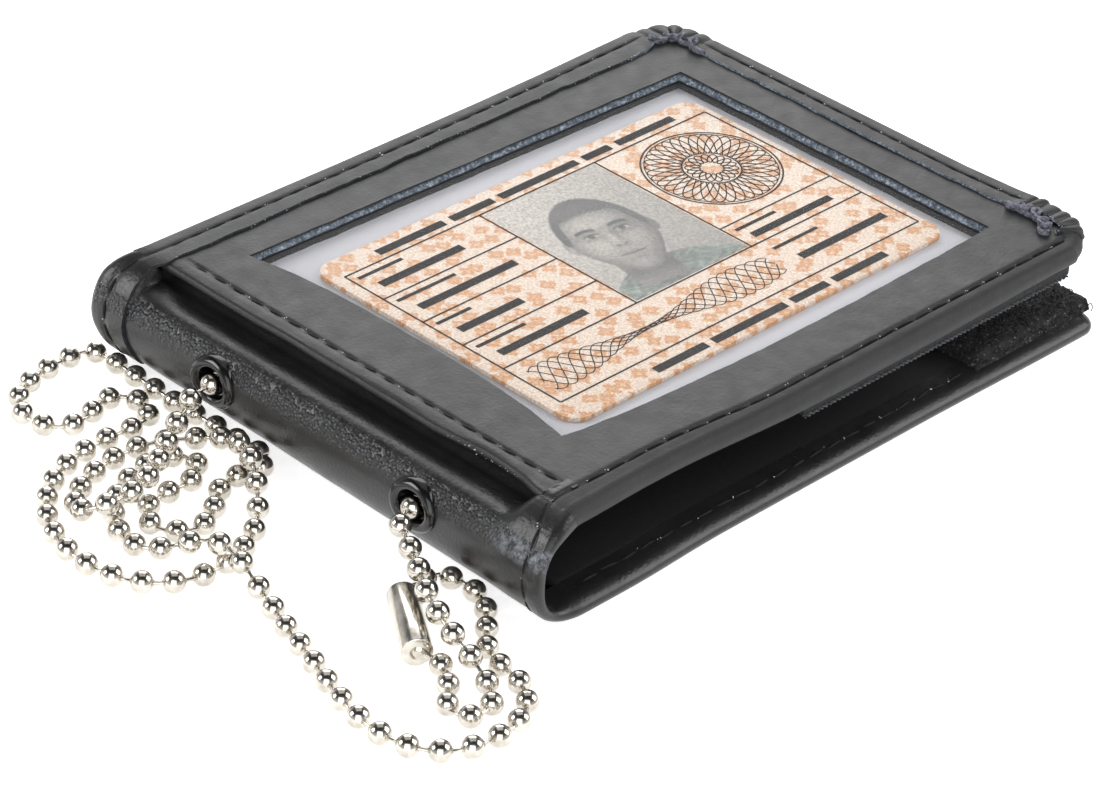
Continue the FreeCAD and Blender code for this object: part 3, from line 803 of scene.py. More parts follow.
def back_cover_edge():
    """The edge round the back cover, from the near end of the spine's foot to the far one, in pairs."""
    made = []
    for x in spread((BACK_START_X, BACK_EDGE_X - BACK_CORNER - 0.3, 64)):
        section = rolled_section(5.2, groove=3.2, dip=0.12, thick=BACK_WALL, roll=1.2, inner_roll=3.1,
                                 reach=5.6, drop=0.1)
        made.append((Station((x, near_back_line(x), 0), (0, 1, 0), (0, 0, -1)), section))
    stations = corner_stations(-1, -90, 0, 14, 0, -1, BACK_EDGE_X, BACK_CORNER)
    for station in stations:
        station.point[1] -= 0.4 * station.inward[1]
    straight = EDGE_Y - BACK_CORNER - 0.3
    for y in spread((-straight, straight, 40)):
        stations.append(Station((BACK_EDGE_X, y, 0), (-1, 0, 0), (0, 0, -1)))
    stations += corner_stations(1, 0, 90, 14, 0, -1, BACK_EDGE_X, BACK_CORNER)
    for x in spread((BACK_EDGE_X - BACK_CORNER - 0.3, -30.0, 50), (-30.0, BACK_START_X, 14)):
        y = EDGE_Y + 0.4 * smooth_step(-x, 30, 52)
        stations.append(Station((x, y, 0), (0, -1, 0), (0, 0, -1)))
    for station in stations:
        turning = abs(station.inward[0] * station.inward[1]) > 0.001
        start = BACK_CORNER - 0.1 if turning else 4.3
        section = rolled_section(start, groove=STRIP_GROOVE, dip=0.12, thick=BACK_WALL, roll=1.2,
                                 inner_roll=2.6, reach=start, drop=0.1)
        made.append((station, section))
    return made


def far_spine_rim():
    """The far rim round the spine, from the foot to the fold, in pairs."""
    made = []
    for degrees in np.linspace(88, 0, 18):
        turn = smooth_step(-degrees, -80, -40)
        roll = 1.2 - 0.3 * turn
        section = rolled_section(4.3 + 3.1 * turn, groove=FAR_RIM_GROOVE, dip=0.2, thick=2.7 - turn,
                                 roll=roll, inner_roll=roll, reach=5.2, drop=0.1 * (1 - turn))
        made.append((far_rim_lower(degrees), section))
    for degrees in np.linspace(178, FAR_RIM_TOP, 22):
        thick = 1.7 + 2.7 * smooth_step(-degrees, -150, -108)
        half = min(1.4, thick * 0.5)
        start = far_rim_start(degrees) + 0.12 * slow_wave(degrees / 2)
        groove = STRIP_GROOVE + 0.4 * smooth_step(degrees, 104, 140)
        section = rolled_section(start, groove, dip=0.2, thick=thick, roll=half, inner_roll=half, reach=5.2,
                                 drop=0.0)
        made.append((far_rim_upper(degrees), section))
    return made


def back_edge():
    """The rolled edge round the back cover, with the rims over both ends of the spine."""
    stations, sections = zip(*near_spine_rim() + back_cover_edge() + far_spine_rim())
    piece = sheet("back_edge", sweep(stations, sections)[::-1])
    paint(piece, SPINE_LEATHER, RAW_EDGE)
    thicken(piece, 0.5, rim_material=1, even=False)
    shade(piece)
    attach(piece, "back")
    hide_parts("back_near_roll", "back_edge_strip", "spine_rim_near", "spine_rim_far")


# The turned strip and its pleated corners

def far_front_stations():
    """Along the far edge from the fold, round the corner, down the opening edge and into its corner."""
    made = [Station((x, EDGE_Y, STRIP_TOP), (0, -1, 0), (0, 0, 1))
            for x in spread((-51.8, 43.0, 130), (43.0, 55.3, 60))]
    made += corner_stations(1, 88, 2, 60, STRIP_TOP, 1)
    made += [Station((EDGE_X, y, STRIP_TOP), (-1, 0, 0), (0, 0, 1))
             for y in spread((39.3, 27.0, 60), (27.0, -26.0, 70), (-26.0, -39.3, 64))]
    made += corner_stations(-1, -2, -54, 40, STRIP_TOP, 1)
    bend = [far_rim_upper(angle) for angle in np.linspace(FAR_RIM_TOP, 91, BEND_STATIONS)]
    return bend + [swollen(station) for station in made]


def gathered(run, near):
    """How tightly the strip is gathered at a distance from a corner's middle, from 0 to 1."""
    if near:
        return smooth_step(run, -15.0, -11.5)
    return 1 - smooth_step(abs(run), 6.0, 11.0)


def strip_start(station):
    """How far in the raw inner edge of the strip lies, which was cut by hand."""
    if station.normal[2] < 0.9999:
        return far_rim_start(90 + math.degrees(math.asin(-station.normal[0])))
    along = station.point[0] + station.point[1]
    start = 5.5 + 0.16 * slow_wave(along * 1.7) + 0.10 * slow_wave(along * 5.1, 2.0)
    start += 0.06 * slow_wave(along * 13, 0.7)
    if station.inward[1] < -0.9:
        start += station.point[1] - EDGE_Y
    return start


def strip_section(station):
    """The turned strip's section: raw inner edge, stitch groove, square edge, wall and return. Round a
    corner the strip is gathered into pleats, and its near end sinks into the near edge's roll."""
    run = corner_run(station)
    near = station.point[1] < 0
    amount = gathered(run, near)
    turns = (run - 0.3) / NEAR_PLEAT if near else (run + 0.6) / PLEAT
    turns += 0.08 * math.sin(run * 1.1)
    uneven = 0.78 + 0.22 * math.sin(2.3 * round(turns) + 0.8)
    roll = abs(math.cos(math.pi * turns)) ** 0.6 * uneven
    along = station.point[0] + station.point[1]
    start = strip_start(station) + amount * (-1.5 + 0.9 * (roll - 0.5))
    sunk = 0.8 * smooth_step(run, -0.6, 0.9) * near
    groove = STRIP_GROOVE
    insets = np.concatenate([np.linspace(start, groove + 0.45, 7),
                             (groove + 0.25, groove + 0.1, groove, groove - 0.1, groove - 0.25),
                             np.linspace(groove - 0.45, STRIP_ROUND, 6)])
    insets = np.minimum(insets, np.linspace(start, STRIP_ROUND, 18) + 2.0 * (1 - amount))
    depths = (0.14 * bell(insets, groove, 0.5) + 0.16 * bell(insets, groove, 0.14)) * (1 - amount)
    depths -= 0.05 * np.sin(np.pi * np.clip(insets / start, 0, 1))
    depths += 0.05 + sunk - 0.05 * slow_wave(along * 2.3, 1.0) * bell(insets, start, 0.6)
    depths += amount * (0.34 - 0.95 * roll * (0.35 + 0.65 * insets / start))
    push = amount * (0.24 - 0.72 * roll) + 0.5 * sunk
    lift = amount * (0.34 - 0.42 * roll) + sunk
    return list(zip(insets, depths)) + strip_wall(push, lift, 0.5 * sunk)


def strip_wall(push, lift, sunk):
    """The strip's section from its top over the edge, down the wall and back under the cover, pushed in and
    lifted by the pleats."""
    height = STRIP_TOP - FRONT_BOTTOM
    section = []
    for angle in np.linspace(0, np.pi / 2, 8)[1:]:
        section.append((STRIP_ROUND * (1 - math.sin(angle)) + push * math.sin(angle),
                        0.05 + STRIP_ROUND * (1 - math.cos(angle)) + lift * math.cos(angle)))
    for depth in np.linspace(STRIP_ROUND + 0.05, height - FOOT_ROUND, 6)[1:]:
        section.append((push * (1 - depth / height) + sunk, depth))
    for angle in np.linspace(0, np.pi / 2, 6)[1:]:
        section.append((FOOT_ROUND * (1 - math.cos(angle)) + sunk,
                        height - FOOT_ROUND + FOOT_ROUND * math.sin(angle)))
    for inset in np.linspace(FOOT_ROUND, 3.6, 4)[1:]:
        section.append((inset + sunk, height))
    return section


def front_strip():
    """The turned strip over the front cover's far and opening edges, pleated round both corners."""
    stations = far_front_stations()
    sections = [strip_section(station) for station in stations]
    piece = sheet("front_edge_strip_leather", sweep(stations, sections))
    in_edit_mode(piece, (bpy.ops.mesh.flip_normals, {}))
    paint(piece, PANEL_LEATHER, RAW_EDGE)
    thicken(piece, 0.42, rim_material=1, even=False)
    shade(piece)
    bend_at_fold(piece)
    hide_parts("front_edge_strip")


def corner_ruffle(line, loops, size):
    """The raw inner edge of a gathered corner: a ribbon standing on the panel in curls along a line."""
    line = np.array(line, float)
    run = run_along(line)
    share = np.linspace(0, 1, 30 * loops + 1)
    smooth = np.stack([np.interp(share * run[-1], run, line[:, axis]) for axis in range(2)], 1)
    for _ in range(10):
        smooth[1:-1] = (smooth[:-2] + 2 * smooth[1:-1] + smooth[2:]) / 4
    rows = []
    for place, part in zip(smooth, share):
        turn = 2 * math.pi * loops * part
        fade = smooth_step(part, 0, 0.08) * smooth_step(1 - part, 0, 0.08)
        spoke = np.array((math.cos(turn), math.sin(turn)))
        foot = place + spoke * size * fade * (0.8 + 0.3 * math.sin(1.3 * turn + 1))
        top = PANEL_TOP + 0.6 + fade * (0.45 + 0.3 * math.sin(0.7 * turn))
        rows.append([(*foot, PANEL_TOP - 0.15), (*(foot + 0.1 * spoke), PANEL_TOP + 0.35),
                     (*(foot + 0.25 * fade * spoke), top)])
    piece = sheet("corner_ruffle", rows)
    apply_modifier(piece, "SOLIDIFY", thickness=0.5 * MM, offset=0.0)
    apply_modifier(piece, "BEVEL", width=0.12 * MM, segments=2, limit_method="ANGLE")
    paint(piece, FLESH)
    shade(piece, 50)
    return piece


def corner_ruffles():
    """The curled raw edges at both pleated corners."""
    far_line = [(52.2, 41.5), (54.4, 41.7), (56.6, 40.9), (57.4, 39.2), (56.9, 36.6), (56.2, 33.8)]
    near_line = [(56.3, -30.2), (57.6, -31.6), (57.6, -34.0), (57.0, -36.4), (55.6, -38.4), (54.4, -39.6)]
    curls = [corner_ruffle(far_line, loops=4, size=0.85), corner_ruffle(near_line, loops=6, size=0.8)]
    piece = join(curls, "corner_ruffles")
    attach(piece, "front_cover")


# Covers and spine

def rim_share(y, step):
    """How far the spine leather has risen to its end rims: all the way to the near one, and a third of the
    way to the far strip before it slips under it. Step runs from 0 on the face to 1 at the top."""
    late = smooth_step(step, 0.4, 0.9)
    near = smooth_step(-y, 33.5 + 0.7 * late, 38.9 - 0.3 * late)
    far = 0.3 * smooth_step(y, 33.0, 41.0) + 0.7 * smooth_step(y, 40.4, 41.6)
    return max(near, far)


def spine_profile(y):
    """The spine leather's line in x and z from its foot to its top, where it sinks under the pocket's lip;
    at the ends it rises to meet the rims."""
    near = y < 0
    depth = 0.12 if near else 0.52
    top = PANEL_TOP if near else STRIP_TOP
    last = NEAR_RIM_TOP if near else FAR_RIM_TOP
    square = spine_square(y)
    places = []
    share = rim_share(y, 0)
    for degrees in np.linspace(90, 0, 19):
        station = lower_bend(0, 1, degrees, square)
        plain = station.point[[0, 2]]
        plain[0] = SPINE_X + (plain[0] - SPINE_X) * SPINE_Z / (EDGE_X + SPINE_X)
        rim = station.at(0, depth)[[0, 2]]
        rim[1] = max(rim[1], 0.0)
        places.append(plain * (1 - share) + rim * share)
    for step in np.linspace(0, 1, 22)[1:]:
        share = rim_share(y, step)
        angle = math.radians(180 - 90 * step)
        plain = np.array((FOLD_X0 + SPINE_ROUND * math.cos(angle), SPINE_Z + SPINE_ROUND * math.sin(angle)))
        plain[1] -= 1.1 * smooth_step(step, 0.5, 1.0)
        rim = upper_bend(0, 1, top, 180 - (180 - last) * step).at(0, depth)[[0, 2]]
        places.append(plain * (1 - share) + rim * share)
    return places


def under_an_eyelet(face):
    """Whether a face of the spine lies under an eyelet's flange."""
    centre = face.center / MM
    reaches = [math.hypot(centre.y - y, centre.z - SPINE_Z) for y in (EYELET_NEAR, EYELET_FAR)]
    return centre.x < -57 and min(reaches) < EYELET_HOLE


def cover_leather():
    """The leather of the back cover and the spine in one bent sheet, lined on its inner face. Its sides are
    drawn in under the edges where it lies flat."""
    across = spread((-42.6, -35.0, 26), (-35.0, 36.0, 71), (36.0, 43.6, 26))
    drawn_in = np.interp(across, (-42.6, -35.0, 36.0, 43.6), (-40.9, -35.0, 36.0, 41.3))
    rows = []
    for x in spread((BACK_EDGE_X - 4.3, -49.0, 50), (-49.0, SPINE_X + 0.4, 3)):
        rows.append([(x, y, 0.0) for y in drawn_in])
    profiles = [spine_profile(y) for y in across]
    for number in range(len(profiles[0])):
        row = []
        for y, narrow, profile in zip(across, drawn_in, profiles):
            x, z = profile[number]
            calm = smooth_step(z, 1.0, 4.0) * (1 - smooth_step(abs(y), 34, 40))
            high = smooth_step(z, 0.2, 3.0)
            wavy = 0.10 * calm * slow_wave(y * 1.3, number * 0.25)
            row.append((x - wavy, narrow + (y - narrow) * high, z))
        rows.append(row)
    piece = sheet("cover_leather", rows)
    in_edit_mode(piece, (bpy.ops.mesh.flip_normals, {}))
    edit_chosen(piece, "FACE", under_an_eyelet, (bpy.ops.mesh.delete, dict(type="FACE")))
    paint(piece, SPINE_LEATHER, LINING)
    thicken(piece, 0.95, inner_material=1, even=False)
    shade(piece)
    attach(piece, "back")
    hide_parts("back_leather", "spine_leather", "spine_lining")


def fold_leather():
    """The leather that bends under the pocket's mouth when the cover opens; at its near end it comes up
    flush with the panel."""
    across = spread((-40.4, -35.0, 30), (-35.0, 36.0, 40), (36.0, 43.6, 26))
    rows = []
    for x in spread((FOLD_X0, FOLD_X1, 10), (FOLD_X1, -49.4, 6)):
        row = []
        for y in across:
            flush = smooth_step(-y, 37.5, 38.4)
            high = spine_profile(y)[-1][1]
            rest = 14.2 + 1.0 * smooth_step(x, -53.2, -50.6)
            rest += 1.9 * rim_share(y, 1) * (y > 0) + (PANEL_TOP + 0.04 - rest) * flush
            groove = NEAR_DROP * flush * bell(y, across[0], 0.5)
            tucked = smooth_step(x, FOLD_X0, -53.4)
            row.append((x, y, high + (rest - groove - high) * tucked))
        rows.append(row)
    piece = sheet("fold_leather", rows)
    in_edit_mode(piece, (bpy.ops.mesh.flip_normals, {}))
    thicken(piece, 0.8, even=False)
    paint(piece, SPINE_LEATHER)
    shade(piece)
    bend_at_fold(piece)
    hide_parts("cover_fold")


# Window panel

def window_place(u, v):
    """A point of the window's cut, which was made by hand: askew, bowed and ragged; u and v run from 0 to 1
    along and across the card."""
    near_left, far_left, near_right, far_right = (np.array(corner) for corner in WINDOW_CORNERS)
    low = near_left * (1 - u) + near_right * u
    high = far_left * (1 - u) + far_right * u
    ragged = 0.08 * slow_wave(u * 190 + v * 130, 0.5)
    ragged += 0.05 * slow_wave(u * 610 + v * 420, 1.1)
    bow_x = 2.6 * (1 - abs(2 * v - 1) ** 3) * (1 - u)
    bow_y = -2.05 * math.sin(math.pi * u ** 0.75) * (1 - v)
    off = np.array((bow_x + ragged * (u in (0.0, 1.0)), bow_y + ragged * (v in (0.0, 1.0))))
    return low * (1 - v) + high * v + off


def lip_line():
    """The rolled lip of the pocket's mouth in x and z, from under the hem to the panel's top."""
    places = [(x, 16.35) for x in np.linspace(-49.4, -53.1, 5)]
    for angle in np.linspace(0.15, np.pi - 0.15, 11):
        places.append((-53.15 - 0.78 * math.sin(angle), 17.1 - 0.76 * math.cos(angle)))
    return places


def panel_plan(kind, value, part, share):
    """Where a column and a line of the panel's grid cross in plan, and the y of the near groove there.
    Beside the window both follow its cut."""
    u = {"left": 0.0, "middle": value, "right": 1.0}[kind]
    v = {"near": 0.0, "centre": share, "far": 1.0}[part]
    cut_x, cut_y = window_place(u, v)
    x = cut_x
    if kind == "left":
        x = value + (cut_x - WINDOW_X0) * smooth_step(value, -48.0, WINDOW_X0)
    elif kind == "right":
        x = value + (cut_x - WINDOW_X1) * (1 - smooth_step(value, WINDOW_X1, 56.0))
    groove = near_groove_line(x)
    y = cut_y
    if part == "near":
        y = groove + (cut_y - groove) * share ** 1.6
    elif part == "far":
        y = cut_y + (44.4 - cut_y) * share
    return x, y, groove


def panel_place(x, y, groove):
    """A point of the panel's top: puckered at the mouth's stitches, sunk at the near groove, tucked in
    under the strip and rounded at its far corner."""
    hole = 0.5 + 0.5 * math.cos(2 * math.pi * y / STITCH_PITCH)
    mouth = (bell(x, MOUTH_STITCH_X, 0.42) * (1 - smooth_step(abs(y), 38.5, 39.5)))
    height = PANEL_TOP - mouth * (0.16 + 0.2 * hole) + 0.12 * bell(x, -52.1, 0.9)
    height -= 0.32 * bell(y - groove, 0, 0.5)
    height += 0.05 * slow_wave(x * 0.6, y * 0.13)
    height -= 0.3 * max(smooth_step(y, 42.0, 43.2), smooth_step(x, 57.6, 58.8))
    across = max(x - (EDGE_X - CORNER), 0)
    along = max(y - (EDGE_Y - CORNER), 0)
    far = math.hypot(across, along)
    if across > 0 and along > 0 and far > PANEL_CORNER:
        x = EDGE_X - CORNER + across * PANEL_CORNER / far
        y = EDGE_Y - CORNER + along * PANEL_CORNER / far
    return (x, y, height)


def window_panel():
    """The window panel: hemmed mouth with its rolled lip, and the hand-cut window."""
    lip = lip_line()
    left = spread((-53.0, -51.6, 5), (-51.6, -49.8, 10), (-49.8, WINDOW_X0, 14))
    columns = [("left", x, z) for x, z in lip] + [("left", x, None) for x in left]
    columns += [("middle", u, None) for u in np.linspace(0, 1, WINDOW_COLUMNS + 1)[1:]]
    columns += [("right", x, None) for x in spread((WINDOW_X1, 60.2, 16))[1:]]
    lines = [("near", v) for v in np.linspace(0, 1, 26)]
    lines += [("centre", v) for v in np.linspace(0, 1, WINDOW_ROWS + 1)[1:]]
    lines += [("far", v) for v in np.linspace(0, 1, 20)[1:]]
    rows = []
    for part, share in lines:
        row = []
        for kind, value, z in columns:
            x, y, groove = panel_plan(kind, value, part, share)
            ended = smooth_step(-y, 38.5, 39.1)
            if x < HEM_X:
                bowed = 0.7 * bell(y, -27.0, 6.0) - 0.8 * smooth_step(-y, 33.0, 38.3)
                x += bowed * smooth_step(-x, -HEM_X, 52.5)
                x += ended * 0.95 * (HEM_X - x)
            if z is None:
                row.append(panel_place(x, y, groove))
            else:
                z += ended * (16.8 - z) + 0.06 * slow_wave(y * 1.1, 0.3)
                row.append((x + 0.12 * slow_wave(y, 1.0), y, z))
        rows.append(row)
    piece = sheet("window_panel_leather", rows)
    first_row = [part for part, share in lines].count("near") - 1
    first_column = len(lip) + len(left) - 1

    def in_window(face):
        row, column = divmod(face.index, len(columns) - 1)
        return 0 <= row - first_row < WINDOW_ROWS and 0 <= column - first_column < WINDOW_COLUMNS

    edit_chosen(piece, "FACE", in_window, (bpy.ops.mesh.delete, dict(type="FACE")))
    thicken(piece, 0.95, even=False)
    paint(piece, PANEL_LEATHER)
    shade(piece)
    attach(piece, "front_cover")
    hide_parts("window_panel")


def cut_place(u, v, share, z):
    """A point of the window's cut moved into the window by a share of the fringe's width there."""
    x, y = window_place(u, v)
    return (x + share * (0.13 * (1 - u) - 1.0 * u), y + share * (0.13 * (1 - v) - 0.7 * v), z)


def window_cut():
    """The window's raw cut: ragged fibre that slopes in from the panel's face, and under it a dark sheet of
    lining cloth as painted shade of the gap round the pocket.
    """
    loop = [(u, 1.0) for u in np.linspace(0, 1, 270)] + [(1.0, v) for v in np.linspace(1, 0, 190)[1:]]
    loop += [(u, 0.0) for u in np.linspace(1, 0, 130)[1:]]
    shade_sheet_loop = list(loop)
    loop += [(0.0, v) for v in np.linspace(0, 1, 90)[1:-1]]
    section = [(-0.06, 17.78), (0.03, 17.8), (0.14, 17.7), (0.36, 17.5), (0.58, 17.3), (0.8, 17.1),
               (1.0, 16.93), (1.0, 16.84), (0.8, 16.8)]
    rows = []
    for u, v in loop:
        frayed = 1 + 0.1 * slow_wave(u * 300 + v * 210, 0.2) + dice.normal(0, 0.045)
        rows.append([cut_place(u, v, share * frayed, z + dice.normal(0, 0.035) * (0.1 < share < 0.9))
                     for share, z in section])
    fringe = sheet("window_cut_edge", rows + rows[:1])
    in_edit_mode(fringe, (bpy.ops.mesh.remove_doubles, dict(threshold=0.001 * MM)))
    thicken(fringe, 0.12, even=False)
    paint(fringe, WINDOW_EDGE)
    shade(fringe, 60)
    # A dark sheet standing down from the cut to the liner: painted shade for the shadowed gap under the
    # panel's edge
    shade_sheet = sheet("pocket_shadow_sheet", [[cut_place(u, v, 0.97, z) for z in (16.48, 16.1, 15.8, 15.47)]
                                 for u, v in shade_sheet_loop])
    thicken(shade_sheet, 0.3, even=False)
    paint(shade_sheet, LINING)
    shade(shade_sheet)
    for piece in (fringe, shade_sheet):
        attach(piece, "front_cover")


# Stitches and pulled fibre

def stitch_shape(length):
    """One stitch along the X axis: a bent capsule of thread whose ends dip into the leather."""
    bpy.ops.mesh.primitive_uv_sphere_add(segments=8, ring_count=8, radius=1)
    stitch = take_active("stitch")
    for vertex in stitch.data.vertices:
        x, y, z = vertex.co
        vertex.co = (z * length / 2, y * 0.26, x * 0.22 - 0.2 * z * z)
    stitch.data.transform(Matrix.Scale(MM, 4))
    return stitch


def fleck_shape():
    """A fleck of pulled fibre of one millimetre's radius."""
    bpy.ops.mesh.primitive_ico_sphere_add(subdivisions=1, radius=MM)
    return take_active("fleck")


def fleck_lie(place, size, stretch, turn):
    """The matrix that lays a fleck at a place, stretched one way and turned about the vertical."""
    shape = Matrix.Diagonal((size, size * stretch, size, 1))
    return Matrix.Translation(Vector(place) * MM) @ Matrix.Rotation(turn, 4, "Z") @ shape


def stitch_row(name, places, normals, body, length, node=None):
    """A row of thread stitches along a line of places, half sunk in the leather, with pale fibre pulled up
    at some of the needle holes."""
    places = np.asarray(places, float)
    normals = np.asarray(normals, float)
    run = run_along(places)
    stitch = stitch_shape(length)
    fleck = fleck_shape()

    def at(distance):
        return Vector([np.interp(distance, run, places[:, axis]) for axis in range(3)])

    stitches = []
    flecks = []
    for middle in np.arange(STITCH_PITCH / 2, run[-1], STITCH_PITCH):
        up = Vector([np.interp(middle, run, normals[:, axis]) for axis in range(3)]).normalized()
        along = (at(min(middle + 1, run[-1])) - at(max(middle - 1, 0))).normalized()
        side = up.cross(along).normalized()
        sway = dice.uniform(-0.11, 0.11)
        along = side.cross(up).normalized() * math.cos(sway) + side * math.sin(sway)
        matrix = Matrix((along, up.cross(along), up)).transposed().to_4x4()
        matrix.translation = (at(middle) + side * dice.uniform(-0.14, 0.14)) * MM
        stitches.append(matrix @ Matrix.Diagonal((dice.uniform(0.9, 1.12), 1, 1, 1)))
        for _ in range(int(dice.integers(0, 3))):
            size = dice.uniform(0.06, 0.14)
            spot = at(min(middle + length / 2 + dice.uniform(-0.1, 0.5), run[-1]))
            spot += side * dice.uniform(-0.35, 0.35) + up * 0.16
            stretch = dice.uniform(0.5, 1.8)
            flecks.append(fleck_lie(spot, size, stretch, turn=dice.uniform(0, 6)))
    thread = copies(stitch, stitches, name + "_thread")
    paint(thread, THREAD)
    fibre = copies(fleck, flecks, name + "_fibre")
    paint(fibre, FIBRE)
    row = join([thread, fibre], name)
    make_active(row)
    bpy.ops.object.shade_smooth()
    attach(row, body)
    if node:
        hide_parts(node)


def all_stitches():
    """Every stitch row that shows."""
    near = [s for s in near_front_stations() if -49.6 < s.point[0] < 56.5]
    stitch_row("near_front_stitches", [s.at(near_inset(s) + 0.9 * corner_lift(s), 0.1) for s in near],
               [s.normal for s in near], "front_cover", 3.7)
    strip = [s for s in far_front_stations() if s.point[0] > -51.5]
    far = [s for s in strip if s.inward[1] < -0.99 and s.point[0] < 49]
    opening = [s for s in strip if s.inward[0] < -0.99 and -30 < s.point[1] < 33]
    stitch_row("far_front_stitches", [s.at(STRIP_GROOVE, 0.12) for s in far], [s.normal for s in far],
               "front_cover", 3.0, "front_stitching")
    stitch_row("opening_front_stitches", [s.at(STRIP_GROOVE, 0.12) for s in opening],
               [s.normal for s in opening], "front_cover", 3.0)
    mouth = [(MOUTH_STITCH_X, y, PANEL_TOP - 0.24) for y in np.linspace(-38.4, 38.6, 60)]
    stitch_row("mouth_stitches", mouth, [(0, 0, 1)] * 60, "front_cover", 3.6, "mouth_stitching")
    rim = [(near_rim(a), near_rim_inset(a)) for a in np.linspace(105, 179, 20)]
    rim += [(lower_bend(-EDGE_Y, 1, a, spine_square(-EDGE_Y)), NEAR_GROOVE) for a in np.linspace(1, 70, 18)]
    stitch_row("near_rim_stitches", [s.at(inset, 0.14) for s, inset in rim], [s.normal for s, _ in rim],
               "back", 3.6)
    rim = [far_rim_upper(a) for a in np.linspace(112, 179, 20)]
    rim += [far_rim_lower(a) for a in np.linspace(1, 70, 18)]
    stitch_row("far_rim_stitches", [s.at(FAR_RIM_GROOVE, 0.08) for s in rim], [s.normal for s in rim],
               "back", 3.0)
    for name, y, node in (("back_near_stitches", -42.4, "back_stitching"),
                          ("back_far_stitches", 42.6, None)):
        inner = [(x, y, BACK_WALL) for x in np.linspace(-50, 34.5, 60)]
        stitch_row(name, inner, [(0, 0, 1)] * 60, "back", 4.0, node)


def loose_fibres():
    """Pale fibre along the strip's raw edge and the pocket's lip."""
    fleck = fleck_shape()
    places = []
    for station in far_front_stations()[BEND_STATIONS:]:
        inset, depth = strip_section(station)[0]
        if dice.uniform() < 0.4:
            inset += dice.uniform(-0.12, 0.1)
            places.append(station.at(inset, depth + dice.uniform(-0.05, 0.4)))
    for y in np.arange(-37.5, -16.0, 0.9):
        places.append((-53.9 + dice.uniform(-0.1, 0.35), y + dice.uniform(-0.4, 0.4),
                       17.35 + dice.uniform(-0.25, 0.25)))
    spots = []
    for place in places:
        size = dice.uniform(0.05, 0.11)
        stretch = dice.uniform(0.6, 2.2)
        spots.append(fleck_lie(place, size, stretch, turn=dice.uniform(0, 6)))
    piece = copies(fleck, spots, "loose_fibres")
    paint(piece, FIBRE)
    make_active(piece)
    bpy.ops.object.shade_smooth()
    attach(piece, "front_cover")


# Eyelets

def spine_face(z, y):
    """The x of the spine's outer face at a height."""
    off = z - SPINE_Z
    if off > 0:
        return FOLD_X0 - math.sqrt(max(SPINE_ROUND ** 2 - off ** 2, 0))
    square = spine_square(y)
    return SPINE_X - SPINE_Z * max(1 - (-off / SPINE_Z) ** square, 0) ** (1 / square)


def eyelet(name, y, *nodes):
    """A pressed eyelet: a domed flange on the spine, a barrel through it and the washer it is set over. Its
    profile is given in depths into the spine and radii."""
    profile = [(2.3, 2.5), (0.6, 2.52), (0.0, 2.62)]
    profile += [(-0.85 * math.sin(a), 3.56 - 0.94 * math.cos(a)) for a in np.linspace(0.12, np.pi, 12)]
    profile += [(0.75, 4.46), (0.8, 3.2), (0.9, 2.9), (1.5, 2.9), (1.55, 4.1), (1.65, 4.2), (1.85, 4.2),
                (1.95, 3.3), (2.3, 3.2), (2.55, 2.9), (2.55, 2.6)]
    bpy.ops.mesh.primitive_circle_add(vertices=len(profile), radius=1)
    piece = take_active(name)
    mesh = piece.data
    for vertex, (depth, radius) in zip(mesh.vertices, profile):
        vertex.co = (depth, radius, 0)
    whole_turn = dict(steps=56, angle=2 * math.pi, center=(0, 0, 0), axis=(1, 0, 0))
    in_edit_mode(piece, (bpy.ops.mesh.spin, whole_turn), (bpy.ops.mesh.select_all, dict(action="SELECT")),
                 (bpy.ops.mesh.remove_doubles, dict(threshold=0.001)),
                 (bpy.ops.mesh.normals_make_consistent, dict(inside=False)))
    for vertex in mesh.vertices:
        depth, across, up = vertex.co
        follow = 0.45 * (spine_face(SPINE_Z + up, y) - spine_face(SPINE_Z, y))
        vertex.co = Vector((EYELET_X + depth + follow, y + across, SPINE_Z + 0.9 * up)) * MM
    mesh.update()
    paint(piece, ENAMEL)
    shade(piece, 50)
    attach(piece, "back")
    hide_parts(*nodes)


# Tapes and inner layers

def hook_tape():
    """The hook tape under the front cover: a woven base with rows of hooks."""
    x0, x1, y0, y1 = HOOK_TAPE
    base = block("hook_tape_base", (x0, x1), (y0, y1), (HOOK_FACE, 14.6))
    apply_modifier(base, "BEVEL", width=0.35 * MM, segments=3, limit_method="ANGLE")
    bent = [(0, 0, 0.1), (0, 0, -0.7), (0.16, 0, -1.0), (0.44, 0, -1.02), (0.55, 0, -0.8)]
    hook = tube("hook", bent, 0.11, 3)
    spots = []
    for x in np.arange(x0 + 1.4, x1, HOOK_PITCH):
        for y in np.arange(y0 + 1.5, y1, HOOK_PITCH):
            facing = dice.choice([0, math.pi]) + dice.uniform(-0.5, 0.5)
            place = (x + dice.uniform(-0.3, 0.3), y + dice.uniform(-0.3, 0.3), HOOK_FACE + 0.02)
            spots.append(Matrix.Translation(Vector(place) * MM) @ Matrix.Rotation(facing, 4, "Z"))
    piece = join([base, copies(hook, spots, "hooks")], "hook_tape_webbing")
    paint(piece, HOOK_WEAVE)
    shade(piece)
    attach(piece, "front_cover")
    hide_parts("hook_tape")


def hook_selvedge():
    """The braided selvedge along the hook tape's near side: two strands laid round each other."""
    x0, x1, y0 = HOOK_TAPE[:3]
    radius = 0.17
    runs = np.arange(0, x1 - x0 - 0.59, 0.2)
    strands = []
    for phase in (0, math.pi):
        turns = 3.3 * runs + phase
        levels_along = HOOK_FACE + 0.05 + radius * np.sin(turns)
        path = np.stack([x0 + runs, y0 + radius * np.cos(turns), levels_along], 1)
        strands.append(tube("selvedge_strand", path, radius, 6))
    braid = join(strands, "hook_tape_selvedge")
    paint(braid, SELVEDGE)
    shade(braid, 60)
    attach(braid, "front_cover")


